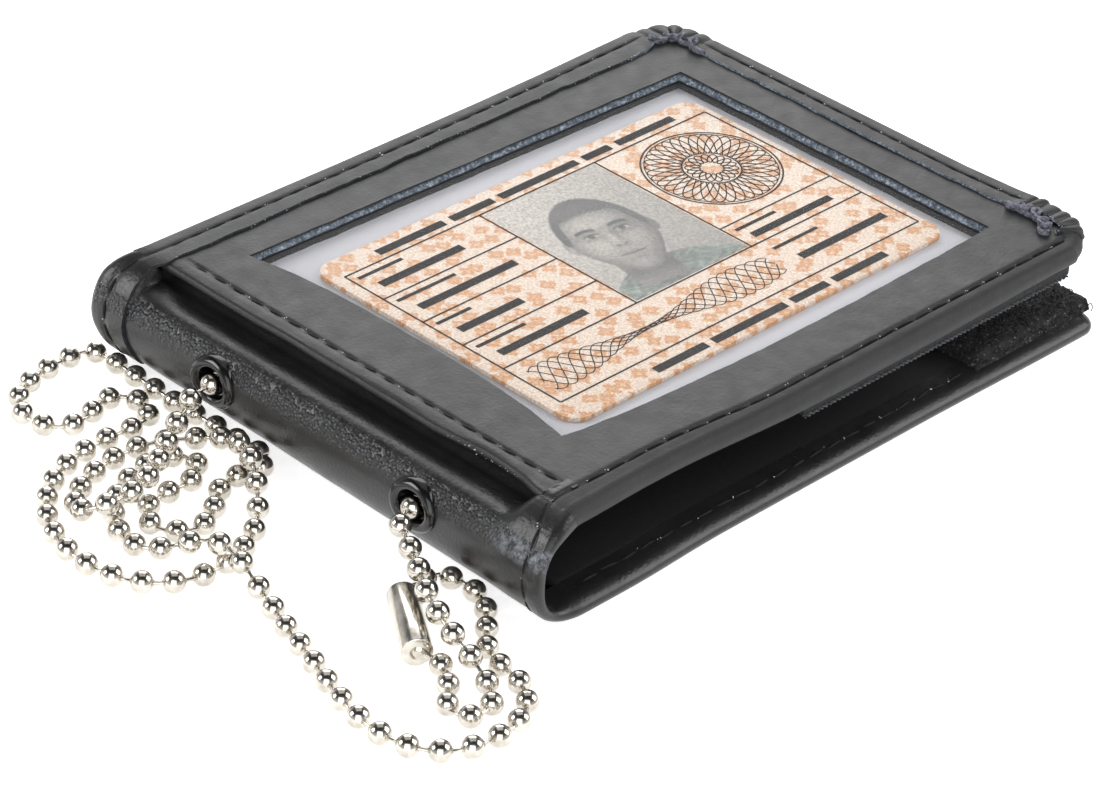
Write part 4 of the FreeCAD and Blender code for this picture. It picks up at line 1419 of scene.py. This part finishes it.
def on_pad(x, y):
    """A point of the loop tape's pad, drawn in round its near corner."""
    across = max(x - (BACK_EDGE_X - BACK_CORNER), 0)
    along = min(y + (EDGE_Y - BACK_CORNER), 0)
    far = math.hypot(across, along)
    if far > PAD_CORNER and along < 0 < across:
        near = PAD_CORNER / far
        return BACK_EDGE_X - BACK_CORNER + across * near, -(EDGE_Y - BACK_CORNER) + along * near
    return x, y


def loop_tape():
    """The loop tape on the back cover: a soft pad with a tangled pile of loops."""
    x0, x1, y0, y1 = LOOP_TAPE

    def from_rim(x, y):
        return min(x - x0, x1 - x, y - y0, y1 - y)

    rows = []
    for y in np.linspace(y0, y1, 92):
        row = []
        for x in np.linspace(x0, x1, 42):
            rim = from_rim(x, y)
            swell = 1.9 * smooth_step(rim, -0.4, 1.2) + 0.18 * slow_wave(x * 4, y * 2.3)
            row.append((*on_pad(x, y), BACK_TOP + swell * smooth_step(rim, -0.05, 0.3)))
        rows.append(row)
    pad = sheet("loop_pad", rows)
    in_edit_mode(pad, (bpy.ops.mesh.normals_make_consistent, dict(inside=False)))
    arch = [(0.62 * math.cos(a), 0, 0.75 * math.sin(a)) for a in np.linspace(-0.3, math.pi + 0.3, 7)]
    loop = tube("loop", arch, 0.1, 3)
    spots = []
    for x in np.arange(x0 + 0.4, x1, 0.85):
        for y in np.arange(y0 + 0.3, y1, 1.0):
            lie = on_pad(x + dice.uniform(-0.4, 0.4), y + dice.uniform(-0.5, 0.5))
            sunk = 1.2 * (1 - smooth_step(from_rim(x, y), 0, 2.0))
            high = BACK_TOP + dice.uniform(1.3, 1.95) - sunk
            tilt = Matrix.Rotation(dice.uniform(0, 6.3), 4, "Z")
            tilt = tilt @ Matrix.Rotation(dice.normal(0, 0.5), 4, "X")
            tilt = tilt @ Matrix.Rotation(dice.normal(0, 0.5), 4, "Y")
            spots.append(Matrix.Translation(Vector((*lie, high)) * MM) @ tilt)
    piece = join([pad, copies(loop, spots, "loops")], "loop_tape_pile")
    paint(piece, LOOP_PILE)
    shade(piece, 60)
    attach(piece, "back")
    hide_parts("loop_tape")


def levels(node):
    """The lowest and the highest level of a solid."""
    low, high = solid_box(node)
    return low[2], high[2]


def back_lining_cloth():
    """The lining over the back cover's board, padded and round at its corners."""
    cloth = rounded_slab("back_lining_cloth", (-53.0, 58.6), (-41.2, 41.2), (1.0, BACK_TOP + 0.02),
                         corner=2.0, edge=0.75)
    paint(cloth, LINING)
    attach(cloth, "back")
    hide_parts("back_lining", "back_board")


def front_layers():
    """The layers inside the front cover: its lining, its own leather and the pocket's liner."""
    cover = ((-50.5, 58.5), (-39.4, 42.0))
    pocket = ((-49.5, 54.0), (-35.2, 37.2))
    for name, plan, node, edge, material, slot in (
            ("front_lining_cloth", cover, "front_lining", 0.1, LINING, "lining"),
            ("front_cover_leather", cover, "front_leather", 0.2, SPINE_LEATHER, "leather"),
            ("pocket_liner_sheet", pocket, "pocket_liner", 0.05, LINER, "grey_liner")):
        piece = rounded_slab(name, *plan, levels(node), corner=2.0, edge=edge)
        paint(piece, material)
        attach(piece, "front_cover")
        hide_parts(node)


# Card

def card_body():
    """The card itself: thin laminated stock with round corners."""
    card = rounded_slab("card_stock", (-36.9, 45.7), (-27.7, 27.0), levels("id_card"), corner=3.2, edge=0.1)
    paint(card, CARD)
    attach(card, "card")
    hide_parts("id_card")


def print_layer(pieces, name, material):
    """Flat printed shapes joined into one thin layer of ink that moves with the card."""
    piece = join(pieces, name)
    apply_modifier(piece, "SOLIDIFY", thickness=0.02 * MM, offset=0.0)
    in_edit_mode(piece, (bpy.ops.mesh.normals_make_consistent, dict(inside=False)))
    paint(piece, material)
    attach(piece, "card")


def printed_bars(boxes):
    """Flat bars of ink, each given by the coordinates of two opposite corners."""
    bpy.ops.mesh.primitive_plane_add(size=1)
    bar = take_active("bar")
    spots = []
    for x0, y0, x1, y1 in boxes:
        middle = Vector(((x0 + x1) / 2, (y0 + y1) / 2, INK_LEVEL)) * MM
        spots.append(Matrix.Translation(middle) @ Matrix.Diagonal(((x1 - x0) * MM, (y1 - y0) * MM, 1, 1)))
    return copies(bar, spots, "bars")


def printed_line(places, width):
    """A flat line of ink along places in x and y."""
    places = np.asarray(places, float)
    ahead = np.gradient(places, axis=0)
    side = np.stack([-ahead[:, 1], ahead[:, 0]], 1) / np.linalg.norm(ahead, axis=1)[:, None] * width / 2
    return sheet("line", [[(*(place + off), INK_LEVEL), (*(place - off), INK_LEVEL)]
                          for place, off in zip(places, side)])


def rosette(x, y, radius):
    """Interlaced lines of a round engraved ornament."""
    turn = np.linspace(0, 2 * math.pi, 361)

    def ring(reach, width):
        return printed_line(np.stack([x + reach * np.cos(turn), y + reach * np.sin(turn)], 1), width)

    lines = []
    for phase in range(4):
        lines.append(ring(radius * (0.68 + 0.26 * np.cos(9 * turn + phase * math.pi / 2)), 0.2))
    for phase in range(3):
        lines.append(ring(radius * (0.27 + 0.11 * np.cos(6 * turn + phase * 2 * math.pi / 3)), 0.22))
    for share, width in ((1.0, 0.3), (0.95, 0.16), (0.42, 0.25)):
        lines.append(ring(share * radius, width))
    return lines


def card_rules(x0, x1, y0, y1):
    """The frame and the ruled fields of the card's print, as bars."""
    half = 0.32 / 2
    foot = -11.0
    left = PORTRAIT[0] - 0.4
    right = PORTRAIT[2] + 0.4
    rules = [(x0, y - half, x1, y + half) for y in (y0, y1, foot)]
    rules += [(x - half, y0, x + half, y1) for x in (x0, x1)]
    rules += [(x - half, foot, x + half, y1) for x in (left, right)]
    rules += [(x0, y - half, left, y + half) for y in (13.9, 5.6, -2.7)]
    return rules + [(right, -4.6, x1, -4.3)]


def field_bars(x0, y1):
    """The plain bars of the card's print: a head, a foot, four fields and two more."""
    head = ((-26, 14), (-10.5, 9), (0, 17), (18.5, 6), (26, 13))
    foot = ((-18, 11), (-5.6, 16), (11.8, 8), (21.2, 12))
    bars = [(x, 23.3, x + width, 24.9) for x, width in head]
    bars += [(x, -26.4, x + width, -24.8) for x, width in foot]
    for row, (label, value) in enumerate(((9, 17), (12, 20), (7, 13), (10, 18))):
        top = y1 - 8.3 * row
        bars.append((x0 + 1.2, top - 2.0, x0 + 1.2 + label, top - 1.3))
        bars.append((x0 + 2.6, top - 5.8, x0 + 2.6 + value, top - 4.2))
    right = PORTRAIT[2]
    bars += [(right + 2.0, -6.6, right + 11.0, -5.9), (right + 3.0, -9.6, right + 21.0, -8.1)]
    return bars + [(21.0, -14.0, 31.0, -13.3), (22.5, -18.6, 42.0, -17.0)]


def card_print():
    """The card's printed design: frame, ruled fields, plain bars, rosette and wave band."""
    x0, x1, y0, y1 = -34.5, 44.5, -22.6, 22.2
    print_layer([printed_bars(card_rules(x0, x1, y0, y1) + field_bars(x0, y1))], "card_rules", INK)
    lines = rosette(32.0, 9.2, 11.2)
    along = np.linspace(-32.5, 18.0, 320)
    swell = 0.55 + 0.45 * np.sin(along * 0.16)
    for phase in range(6):
        wave = -16.8 + 3.6 * np.sin(along * 0.52 + phase * math.pi / 3) * swell
        lines.append(printed_line(np.stack([along, wave], 1), 0.17))
    print_layer(lines, "card_engraving", BROWN_INK)


def oval(x, y, centre_x, centre_y, half_x, half_y, soft=0.12):
    """1 inside an oval and 0 outside, with a soft edge."""
    far = np.sqrt(((x - centre_x) / half_x) ** 2 + ((y - centre_y) / half_y) ** 2)
    return 1 - smooth_step(far, 1 - soft, 1 + soft)


def laid(under, over, share):
    """One tone laid over another, by its share at each point."""
    return under * (1 - share) + over * share


def eye_tones(skin, x, y, side):
    """The skin's tones with an eye, its brow and its half of the nose drawn in; side is -1 or 1."""
    middle = side * 0.235
    skin = skin - 0.13 * oval(x, y, middle, 0.14, 0.19, 0.13, 0.8)
    skin = laid(skin, 0.64, oval(x, y, middle, 0.095, 0.105, 0.042, 0.25))
    skin = laid(skin, 0.16, oval(x, y, middle, 0.10, 0.046, 0.046, 0.2))
    lid = 0.098 + 0.048 * np.sqrt(np.clip(1 - ((x - middle) / 0.125) ** 2, 0, 1))
    skin -= 0.34 * bell(y, lid, 0.016) * (np.abs(x - middle) < 0.125)
    skin -= 0.09 * bell(y, 0.03, 0.02) * bell(x, middle, 0.09)
    brow = 0.255 - 1.5 * (np.abs(x) - 0.25) ** 2
    skin -= 0.32 * bell(y, brow, 0.028) * smooth_step(0.165 - np.abs(np.abs(x) - 0.25), 0, 0.05)
    skin -= 0.28 * oval(x, y, side * 0.062, -0.225, 0.034, 0.02, 0.5)
    return skin - 0.07 * bell(x, side * 0.125, 0.03) * bell(y, -0.20, 0.07)


def face_tones(x, y, far):
    """The tones of the face: forehead, cheeks and chin, both eyes, nose and mouth."""
    skin = 0.62 - 0.10 * x - 0.26 * far ** 4
    for light, *place in ((0.10, -0.10, 0.36, 0.34, 0.16), (0.08, -0.30, -0.16, 0.18, 0.18),
                          (0.05, 0.28, -0.16, 0.15, 0.17), (0.07, -0.02, -0.74, 0.13, 0.09)):
        skin += light * oval(x, y, *place, 0.9)
    for side in (-1, 1):
        skin = eye_tones(skin, x, y, side)
    skin += 0.09 * bell(x, -0.015, 0.04) * smooth_step(0.2 - y, 0, 0.1) * smooth_step(y + 0.22, 0, 0.1)
    skin -= 0.12 * bell(x, 0.075, 0.035) * smooth_step(0.16 - y, 0, 0.1) * smooth_step(y + 0.2, 0, 0.12)
    skin -= 0.12 * bell(y, -0.262, 0.026) * bell(x, 0, 0.10)
    skin -= 0.34 * bell(y, -0.455 + 0.35 * x ** 2, 0.015) * smooth_step(0.205 - np.abs(x), 0, 0.04)
    skin -= 0.09 * bell(y, -0.42, 0.028) * smooth_step(0.17 - np.abs(x), 0, 0.08)
    skin -= 0.05 * bell(y, -0.50, 0.03) * bell(x, 0, 0.14)
    return skin - 0.10 * bell(y, -0.575, 0.03) * bell(x, 0, 0.13)


def portrait_tones(u, v):
    """Grey tones of a plain portrait with short hair: u and v are in half widths from the middle."""
    lean = math.radians(9)
    x = (u + 0.12) * math.cos(lean) - (v + 0.06) * math.sin(lean)
    y = (u + 0.12) * math.sin(lean) + (v + 0.06) * math.cos(lean)
    fine = 0.5 * np.sin(23 * u + 5 * np.sin(17 * v)) + 0.5 * np.sin(29 * v + 4 * np.sin(13 * u))
    shoulder = smooth_step(-(v + 0.74 + 0.38 * (u + 0.16) ** 2), -0.02, 0.03)
    cloth = 0.50 + 0.10 * fine + 0.05 * np.sin(7 * u + 3 * np.sin(5 * v)) - 0.12 * bell(u, -0.2, 0.35)
    neck = smooth_step(0.37 - np.abs(x + 0.02), -0.02, 0.03)
    neck = neck * smooth_step(-y, 0.5, 0.56) * smooth_step(y, -1.25, -1.15)
    layers = [(0.46 - 0.12 * x - 0.16 * bell(y, -0.84, 0.16), neck)]
    for side in (-1, 1):
        layers.append((0.50 + 0.05 * fine - 0.1 * side, oval(x, y, side * 0.615, 0.0, 0.075, 0.17)))
    jaw = 1 + 0.30 * smooth_step(-y, 0.12, 0.95)
    far = np.sqrt((x * jaw / 0.60) ** 2 + (y / 0.91) ** 2)
    layers.append((face_tones(x, y, far), 1 - smooth_step(far, 0.97, 1.02)))
    curl = np.sin(41 * u + 7 * np.sin(23 * v)) * np.sin(37 * v + 6 * np.sin(19 * u))
    line = 0.58 + 0.035 * np.cos(6 * x) + 0.02 * curl - 0.5 * smooth_step(np.abs(x), 0.40, 0.575)
    crown = np.sqrt((x / 0.64) ** 2 + ((y - 0.02) / 0.97) ** 2) + 0.012 * curl
    hair = (1 - smooth_step(crown, 0.965, 1.02)) * smooth_step(y - line, -0.05, 0.05)
    hair = hair * smooth_step(y, -0.1, 0.05)
    layers.append((0.2 + 0.09 * curl + 0.10 * oval(x, y, -0.16, 0.74, 0.3, 0.16, 0.9), hair))
    tone = laid(0.70 - 0.06 * u + 0.05 * v + 0.02 * fine, cloth, shoulder)
    green = shoulder
    for grey, share in layers:
        tone = laid(tone, grey, share)
        green = green * (1 - share)
    tone = np.clip(tone, 0.06, 0.9)[..., None]
    return laid(tone * (1.02, 0.985, 0.94), tone * (0.90, 1.0, 0.92), green[..., None])


def card_portrait():
    """The portrait print on the card: a fine grid that carries its tones."""
    x0, y0, x1, y1 = PORTRAIT
    across = np.linspace(x0, x1, 150)
    along = np.linspace(y0, y1, 198)
    piece = sheet("card_portrait_print", [[(x, y, INK_LEVEL - 0.008) for x in across] for y in along])
    half = (x1 - x0) / 2
    u, v = np.meshgrid((across - (x0 + x1) / 2) / half, (along - (y0 + y1) / 2) / half)
    shown = np.clip(portrait_tones(u, v), 0, 1).reshape(-1, 3)
    colour = np.where(shown <= 0.04045, shown / 12.92, ((shown + 0.055) / 1.055) ** 2.4)
    opaque = np.hstack([colour, np.ones((len(colour), 1))])
    tones = piece.data.color_attributes.new("tone", "FLOAT_COLOR", "POINT")
    tones.data.foreach_set("color", opaque.astype(np.float32).reshape(-1))
    apply_modifier(piece, "SOLIDIFY", thickness=0.008 * MM, offset=-1.0)
    paint(piece, PRINT)
    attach(piece, "card")


# Neck chain

CHAIN_ROUTE = [
    (-59, 21.7, 9), (-64.6, 21.6, 9), (-67.2, 21, 7), (-71.8, 18.8, 5.9),
    (-77.6, 14.8, 5.6), (-83.6, 11.8, 5.6), (-89, 11.4, 5.6), (-92, 13.6, 4.4),
    (-90.6, 17.8, 2.1), (-86.8, 21.4, 1.65), (-81.8, 23.6, 1.65), (-76, 24.6, 1.65),
    (-70.2, 23.8, 1.65), (-66, 20.6, 2), (-64.4, 15.8, 3.9), (-64.8, 11.6, 5.6),
    (-66.6, 6.8, 5.6), (-69.6, 2.2, 3), (-73.6, -2, 1.65), (-79, -5, 1.65),
    (-85.8, -6.4, 1.65), (-92, -4.6, 1.65), (-96.4, 0.2, 1.65), (-98, 6.8, 1.65),
    (-97.2, 13.6, 1.65), (-94.2, 20, 1.65), (-89, 25.2, 1.65), (-82.4, 28.2, 1.65),
    (-75, 29, 1.65), (-68.6, 28.2, 1.65), (-64.8, 30.6, 1.65), (-64.9, 35.2, 1.65),
    (-68.2, 37.4, 1.65), (-72.2, 35.4, 1.65), (-76.4, 34.4, 1.65), (-79.8, 37, 1.65),
    (-80.4, 41.8, 1.65), (-77.4, 46.2, 1.65), (-72, 48.6, 1.65), (-66.2, 49.2, 1.65),
    (-60.8, 49.1, 1.65), (-60.5, 44.2, 1.65), (-60.9, 36.4, 1.65), (-61.1, 29.4, 1.65),
    (-60.8, 22.2, 1.65), (-60.8, 14.4, 1.65), (-60.4, 8.4, 1.65), (-67.2, 9.6, 1.65),
    (-71.6, 8.6, 1.65), (-75, 5.4, 1.65), (-79, 2.8, 1.65), (-83.2, 4.2, 1.65),
    (-85, 8, 1.65), (-82.8, 11.8, 1.65), (-78.2, 12.8, 1.65), (-73, 12.4, 1.65),
    (-69.2, 14.8, 1.65), (-69.4, 18.8, 1.65), (-73.4, 20.4, 1.65), (-79, 19.2, 1.65),
    (-84, 16.6, 1.65), (-88, 12.4, 1.65), (-90.2, 7.2, 1.65), (-89.4, 2.2, 2.4),
    (-86.2, -2, 4.8), (-84.2, -4.6, 5.6), (-83.6, -8.6, 5), (-84, -13.6, 2.2),
    (-85.6, -19, 1.65), (-87.6, -24.2, 1.65), (-89, -29.4, 1.65), (-91.2, -35, 1.65),
    (-93, -41, 1.65), (-94, -47.2, 1.65), (-93, -53.2, 1.65), (-89.2, -57.6, 1.65),
    (-83.8, -59.2, 1.65), (-78.2, -58.8, 1.65), (-73.6, -56.2, 1.65), (-71.2, -51.6, 1.65),
    (-71, -46.8, 1.65), (-68.8, -42.6, 1.65), (-64.8, -39.4, 1.65), (-61.6, -35.2, 1.65),
    (-60.9, -30.2, 1.65), (-63, -26, 1.65), (-66.2, -27.6, 2.1), (-70.6, -30.2, 2.35),
]
NEAR_ROUTE = [
    (-76.2, -36.3, 2.35), (-77.4, -38.4, 2.3), (-76.8, -41.4, 1.8), (-77.6, -44.8, 1.65),
    (-80.8, -47.6, 1.65), (-83.6, -50.4, 1.65), (-82.2, -54.2, 1.65), (-77.6, -53.6, 1.65),
    (-75.4, -50.2, 1.8), (-74.8, -46.4, 3.6), (-74.4, -43, 4.7), (-73.4, -39.2, 5.2),
    (-72, -34.8, 6.2), (-69.2, -30, 6.9), (-66.2, -24.4, 7.7), (-64.4, -20.1, 9),
    (-59, -20.1, 9),
]
INNER_ROUTE = [
    (-59, -20.1, 9), (-56.2, -20.1, 9), (-53.8, -18, 7.4), (-52.4, -10.4, 4.9),
    (-53.2, 0.6, 4.4), (-52.5, 10.8, 4.9), (-53.8, 18, 7.4), (-56.2, 21.7, 9),
    (-59, 21.7, 9),
]
BARREL_START = (-70.2, -27.8, 2.35)
BARREL_END = (-78.27, -39.24, 2.35)


def route_line(route):
    """Points along the smooth line of a route, in metres."""
    line = bpy.data.curves.new("route", "CURVE")
    line.dimensions = "3D"
    line.resolution_u = 10
    spline = line.splines.new("NURBS")
    spline.points.add(len(route) - 1)
    for point, place in zip(spline.points, route):
        point.co = (place[0] * MM, place[1] * MM, place[2] * MM, 1)
    spline.order_u = 3
    spline.use_endpoint_u = True
    holder = bpy.data.objects.new("route", line)
    bpy.context.scene.collection.objects.link(holder)
    mesh = bpy.data.meshes.new_from_object(holder)
    places = np.array([vertex.co for vertex in mesh.vertices], float)
    bpy.data.objects.remove(holder)
    return places


def bead_shape():
    """One hollow bead, dimpled at its two wire holes on the Z axis."""
    bpy.ops.mesh.primitive_uv_sphere_add(segments=18, ring_count=12, radius=BEAD_LOOK / 2 * MM)
    bead = take_active("bead")
    for vertex in bead.data.vertices:
        if math.hypot(vertex.co.x, vertex.co.y) < 0.2 * MM:
            vertex.co.z *= 0.86
    return bead


def link_shape():
    """One wire link between two beads, on the Z axis, waisted at its middle."""
    half = (BEAD_PITCH - BEAD + 0.7) / 2
    link = tube("link", [(0, 0, z) for z in np.linspace(-half, half, 5)], 0.36, 6)
    for vertex in link.data.vertices:
        if abs(vertex.co.z) < 0.3 * half * MM:
            vertex.co.x *= 0.8
            vertex.co.y *= 0.8
    return link


def beaded_strand(name, route, nodes):
    """A strand of beads on wire links along a route; returns the piece, its path and its length."""
    path = route_line(route)
    run = run_along(path)
    reach = 1.2 * MM

    def place(distance):
        return Vector([np.interp(distance, run, path[:, axis]) for axis in range(3)])

    def frame_at(distance):
        ahead = place(min(distance + reach, run[-1]))
        behind = place(max(distance - reach, 0))
        matrix = (ahead - behind).to_track_quat("Z", "Y").to_matrix().to_4x4()
        matrix.translation = place(distance)
        return matrix

    count = round(float(run[-1]) / (BEAD_PITCH * MM))
    pitch = float(run[-1]) / count
    bead_frames = []
    for distance in (np.arange(count) + 0.5) * pitch:
        spin = Matrix.Rotation(dice.uniform(0, 6.28), 4, "Z")
        bead_frames.append(frame_at(distance) @ spin)
    beads = copies(bead_shape(), bead_frames, name + "_beads")
    links = copies(link_shape(), [frame_at(d) for d in np.arange(1, count) * pitch], name + "_links")
    piece = join([beads, links], name)
    paint(piece, BEAD_NICKEL)
    make_active(piece)
    bpy.ops.object.shade_smooth()
    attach(piece, "back")
    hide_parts(*nodes)
    return piece, path, float(run[-1])


def connector_barrel():
    """The rolled barrel that holds the chain's two end beads: curled ends and a slit along its side."""
    start = Vector(BARREL_START) * MM
    end = Vector(BARREL_END) * MM
    radius = 2.1 * MM
    bpy.ops.mesh.primitive_cylinder_add(vertices=48, radius=radius, depth=(end - start).length - 0.8 * MM,
                                        end_fill_type="NGON")
    barrel = take_active("connector_barrel")

    def is_end(face):
        return len(face.vertices) > 4

    def in_slit(face):
        out = math.hypot(face.center.x, face.center.y)
        turn = math.atan2(face.center.y, face.center.x)
        return abs(face.normal.z) < 0.3 and out > radius - 0.2 * MM and abs(turn) < 0.14

    edit_chosen(barrel, "FACE", is_end,
                (bpy.ops.mesh.inset, dict(thickness=0.35 * MM)),
                (bpy.ops.mesh.inset, dict(thickness=0.55 * MM, depth=0.12 * MM)),
                (bpy.ops.mesh.inset, dict(thickness=0.15 * MM, depth=-0.5 * MM)),
                (bpy.ops.mesh.delete, dict(type="FACE")))
    edit_chosen(barrel, "FACE", in_slit, (bpy.ops.mesh.delete, dict(type="FACE")))
    apply_modifier(barrel, "SOLIDIFY", thickness=0.25 * MM, offset=1.0)
    apply_modifier(barrel, "BEVEL", width=0.12 * MM, segments=2, limit_method="ANGLE")
    turned = (end - start).to_track_quat("Z", "Y").to_matrix().to_4x4() @ Matrix.Rotation(SLIT_TURN, 4, "Z")
    turned.translation = (start + end) / 2
    barrel.data.transform(turned)
    paint(barrel, BARREL_NICKEL)
    shade(barrel, 45)
    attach(barrel, "back")
    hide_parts("chain_connector")
    return barrel


def neck_chain():
    """The whole neck chain: the long strand, the barrel, the short strand and the run inside the spine."""
    barrel = connector_barrel()
    main, path, length = beaded_strand("neck_chain_long_strand", CHAIN_ROUTE,
                                       ["chain_far_strand", "chain_middle_strand"])
    near, path, length = beaded_strand("neck_chain_short_strand", NEAR_ROUTE, ["chain_near_strand"])
    inner, path, length = beaded_strand("neck_chain_inner_run", INNER_ROUTE, ["chain_inner_strand"])


# The solid that stays, and the stage, light and camera

def finish_vinyl():
    """The surface of the window's vinyl, the one solid that stays as it is."""
    paint(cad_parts["window_vinyl"], VINYL)


def studio_floor():
    """A pale floor, just under the wallet."""
    bpy.ops.mesh.primitive_plane_add(size=6, location=(0, 0, -0.00005))
    floor = take_active("studio_floor")
    bpy.ops.object.transform_apply(location=True, rotation=True, scale=True)
    paint(floor, PAPER)


def studio_light():
    """Soft light: a sky that is bright at the horizon, and five softboxes that face the wallet."""
    world = bpy.data.worlds.new("studio")
    bpy.context.scene.world = world
    world.use_nodes = True
    background = world.node_tree.nodes["Background"]
    background.inputs["Strength"].default_value = 0.75
    way = add_node(world, "TexCoord").outputs["Generated"]
    split = add_node(world, "SeparateXYZ", links={"Vector": way})
    add_node(world, "ValToRGB", links={"Fac": split.outputs["Z"]},
             stops=[(0.0, "#ffffff"), (0.3, "#dcdddf"), (0.6, "#6c6c6e"), (1.0, "#454547")],
             feeds={"Color": background.inputs["Color"]})
    for name, place, size, power in (("top_softbox", (0.25, 0.35, 1.1), 1.0, 2.0),
                                     ("left_softbox", (-0.85, 0.72, 0.60), 0.5, 5.5),
                                     ("back_softbox", (0.8, 0.9, 0.72), 1.0, 9.0),
                                     ("front_softbox", (-0.75, -0.65, 0.45), 1.0, 6.0),
                                     ("right_softbox", (0.75, -0.65, 0.7), 0.8, 7.5)):
        bpy.ops.object.light_add(type="AREA", location=place)
        lamp = bpy.context.object
        lamp.name = name
        lamp.data.shape = "SQUARE"
        lamp.data.size = size
        lamp.data.energy = power
        lamp.rotation_euler = Vector(place).to_track_quat("Z", "Y").to_euler()


def photo_camera():
    """The camera at the photograph's place: its three axes and where it stands, in metres."""
    bpy.ops.object.camera_add()
    camera = bpy.context.object
    camera.name = "photo_camera"
    camera.data.lens = 138.3
    camera.data.sensor_width = 36.0
    right = (0.696629, -0.714870, 0.060564)
    up = (0.351202, 0.413412, 0.840088)
    back = (-0.625592, -0.563960, 0.539059)
    pose = Matrix((right, up, back)).transposed().to_4x4()
    pose.translation = (-0.417543, -0.367644, 0.347609)
    camera.matrix_world = pose
    bpy.context.scene.camera = camera
    bpy.context.scene.view_settings.view_transform = "Standard"


neck_chain()
cover_leather()
fold_leather()
back_edge()
near_front_edge()
window_panel()
window_cut()
front_strip()
corner_ruffles()
loose_fibres()
all_stitches()
eyelet("eyelet_far_rolled", EYELET_FAR, "eyelet_far", "eyelet_washer_far")
eyelet("eyelet_near_rolled", EYELET_NEAR, "eyelet_near", "eyelet_washer_near")
hook_tape()
hook_selvedge()
back_lining_cloth()
loop_tape()
front_layers()
card_body()
card_print()
card_portrait()
finish_vinyl()
studio_floor()
studio_light()
photo_camera()
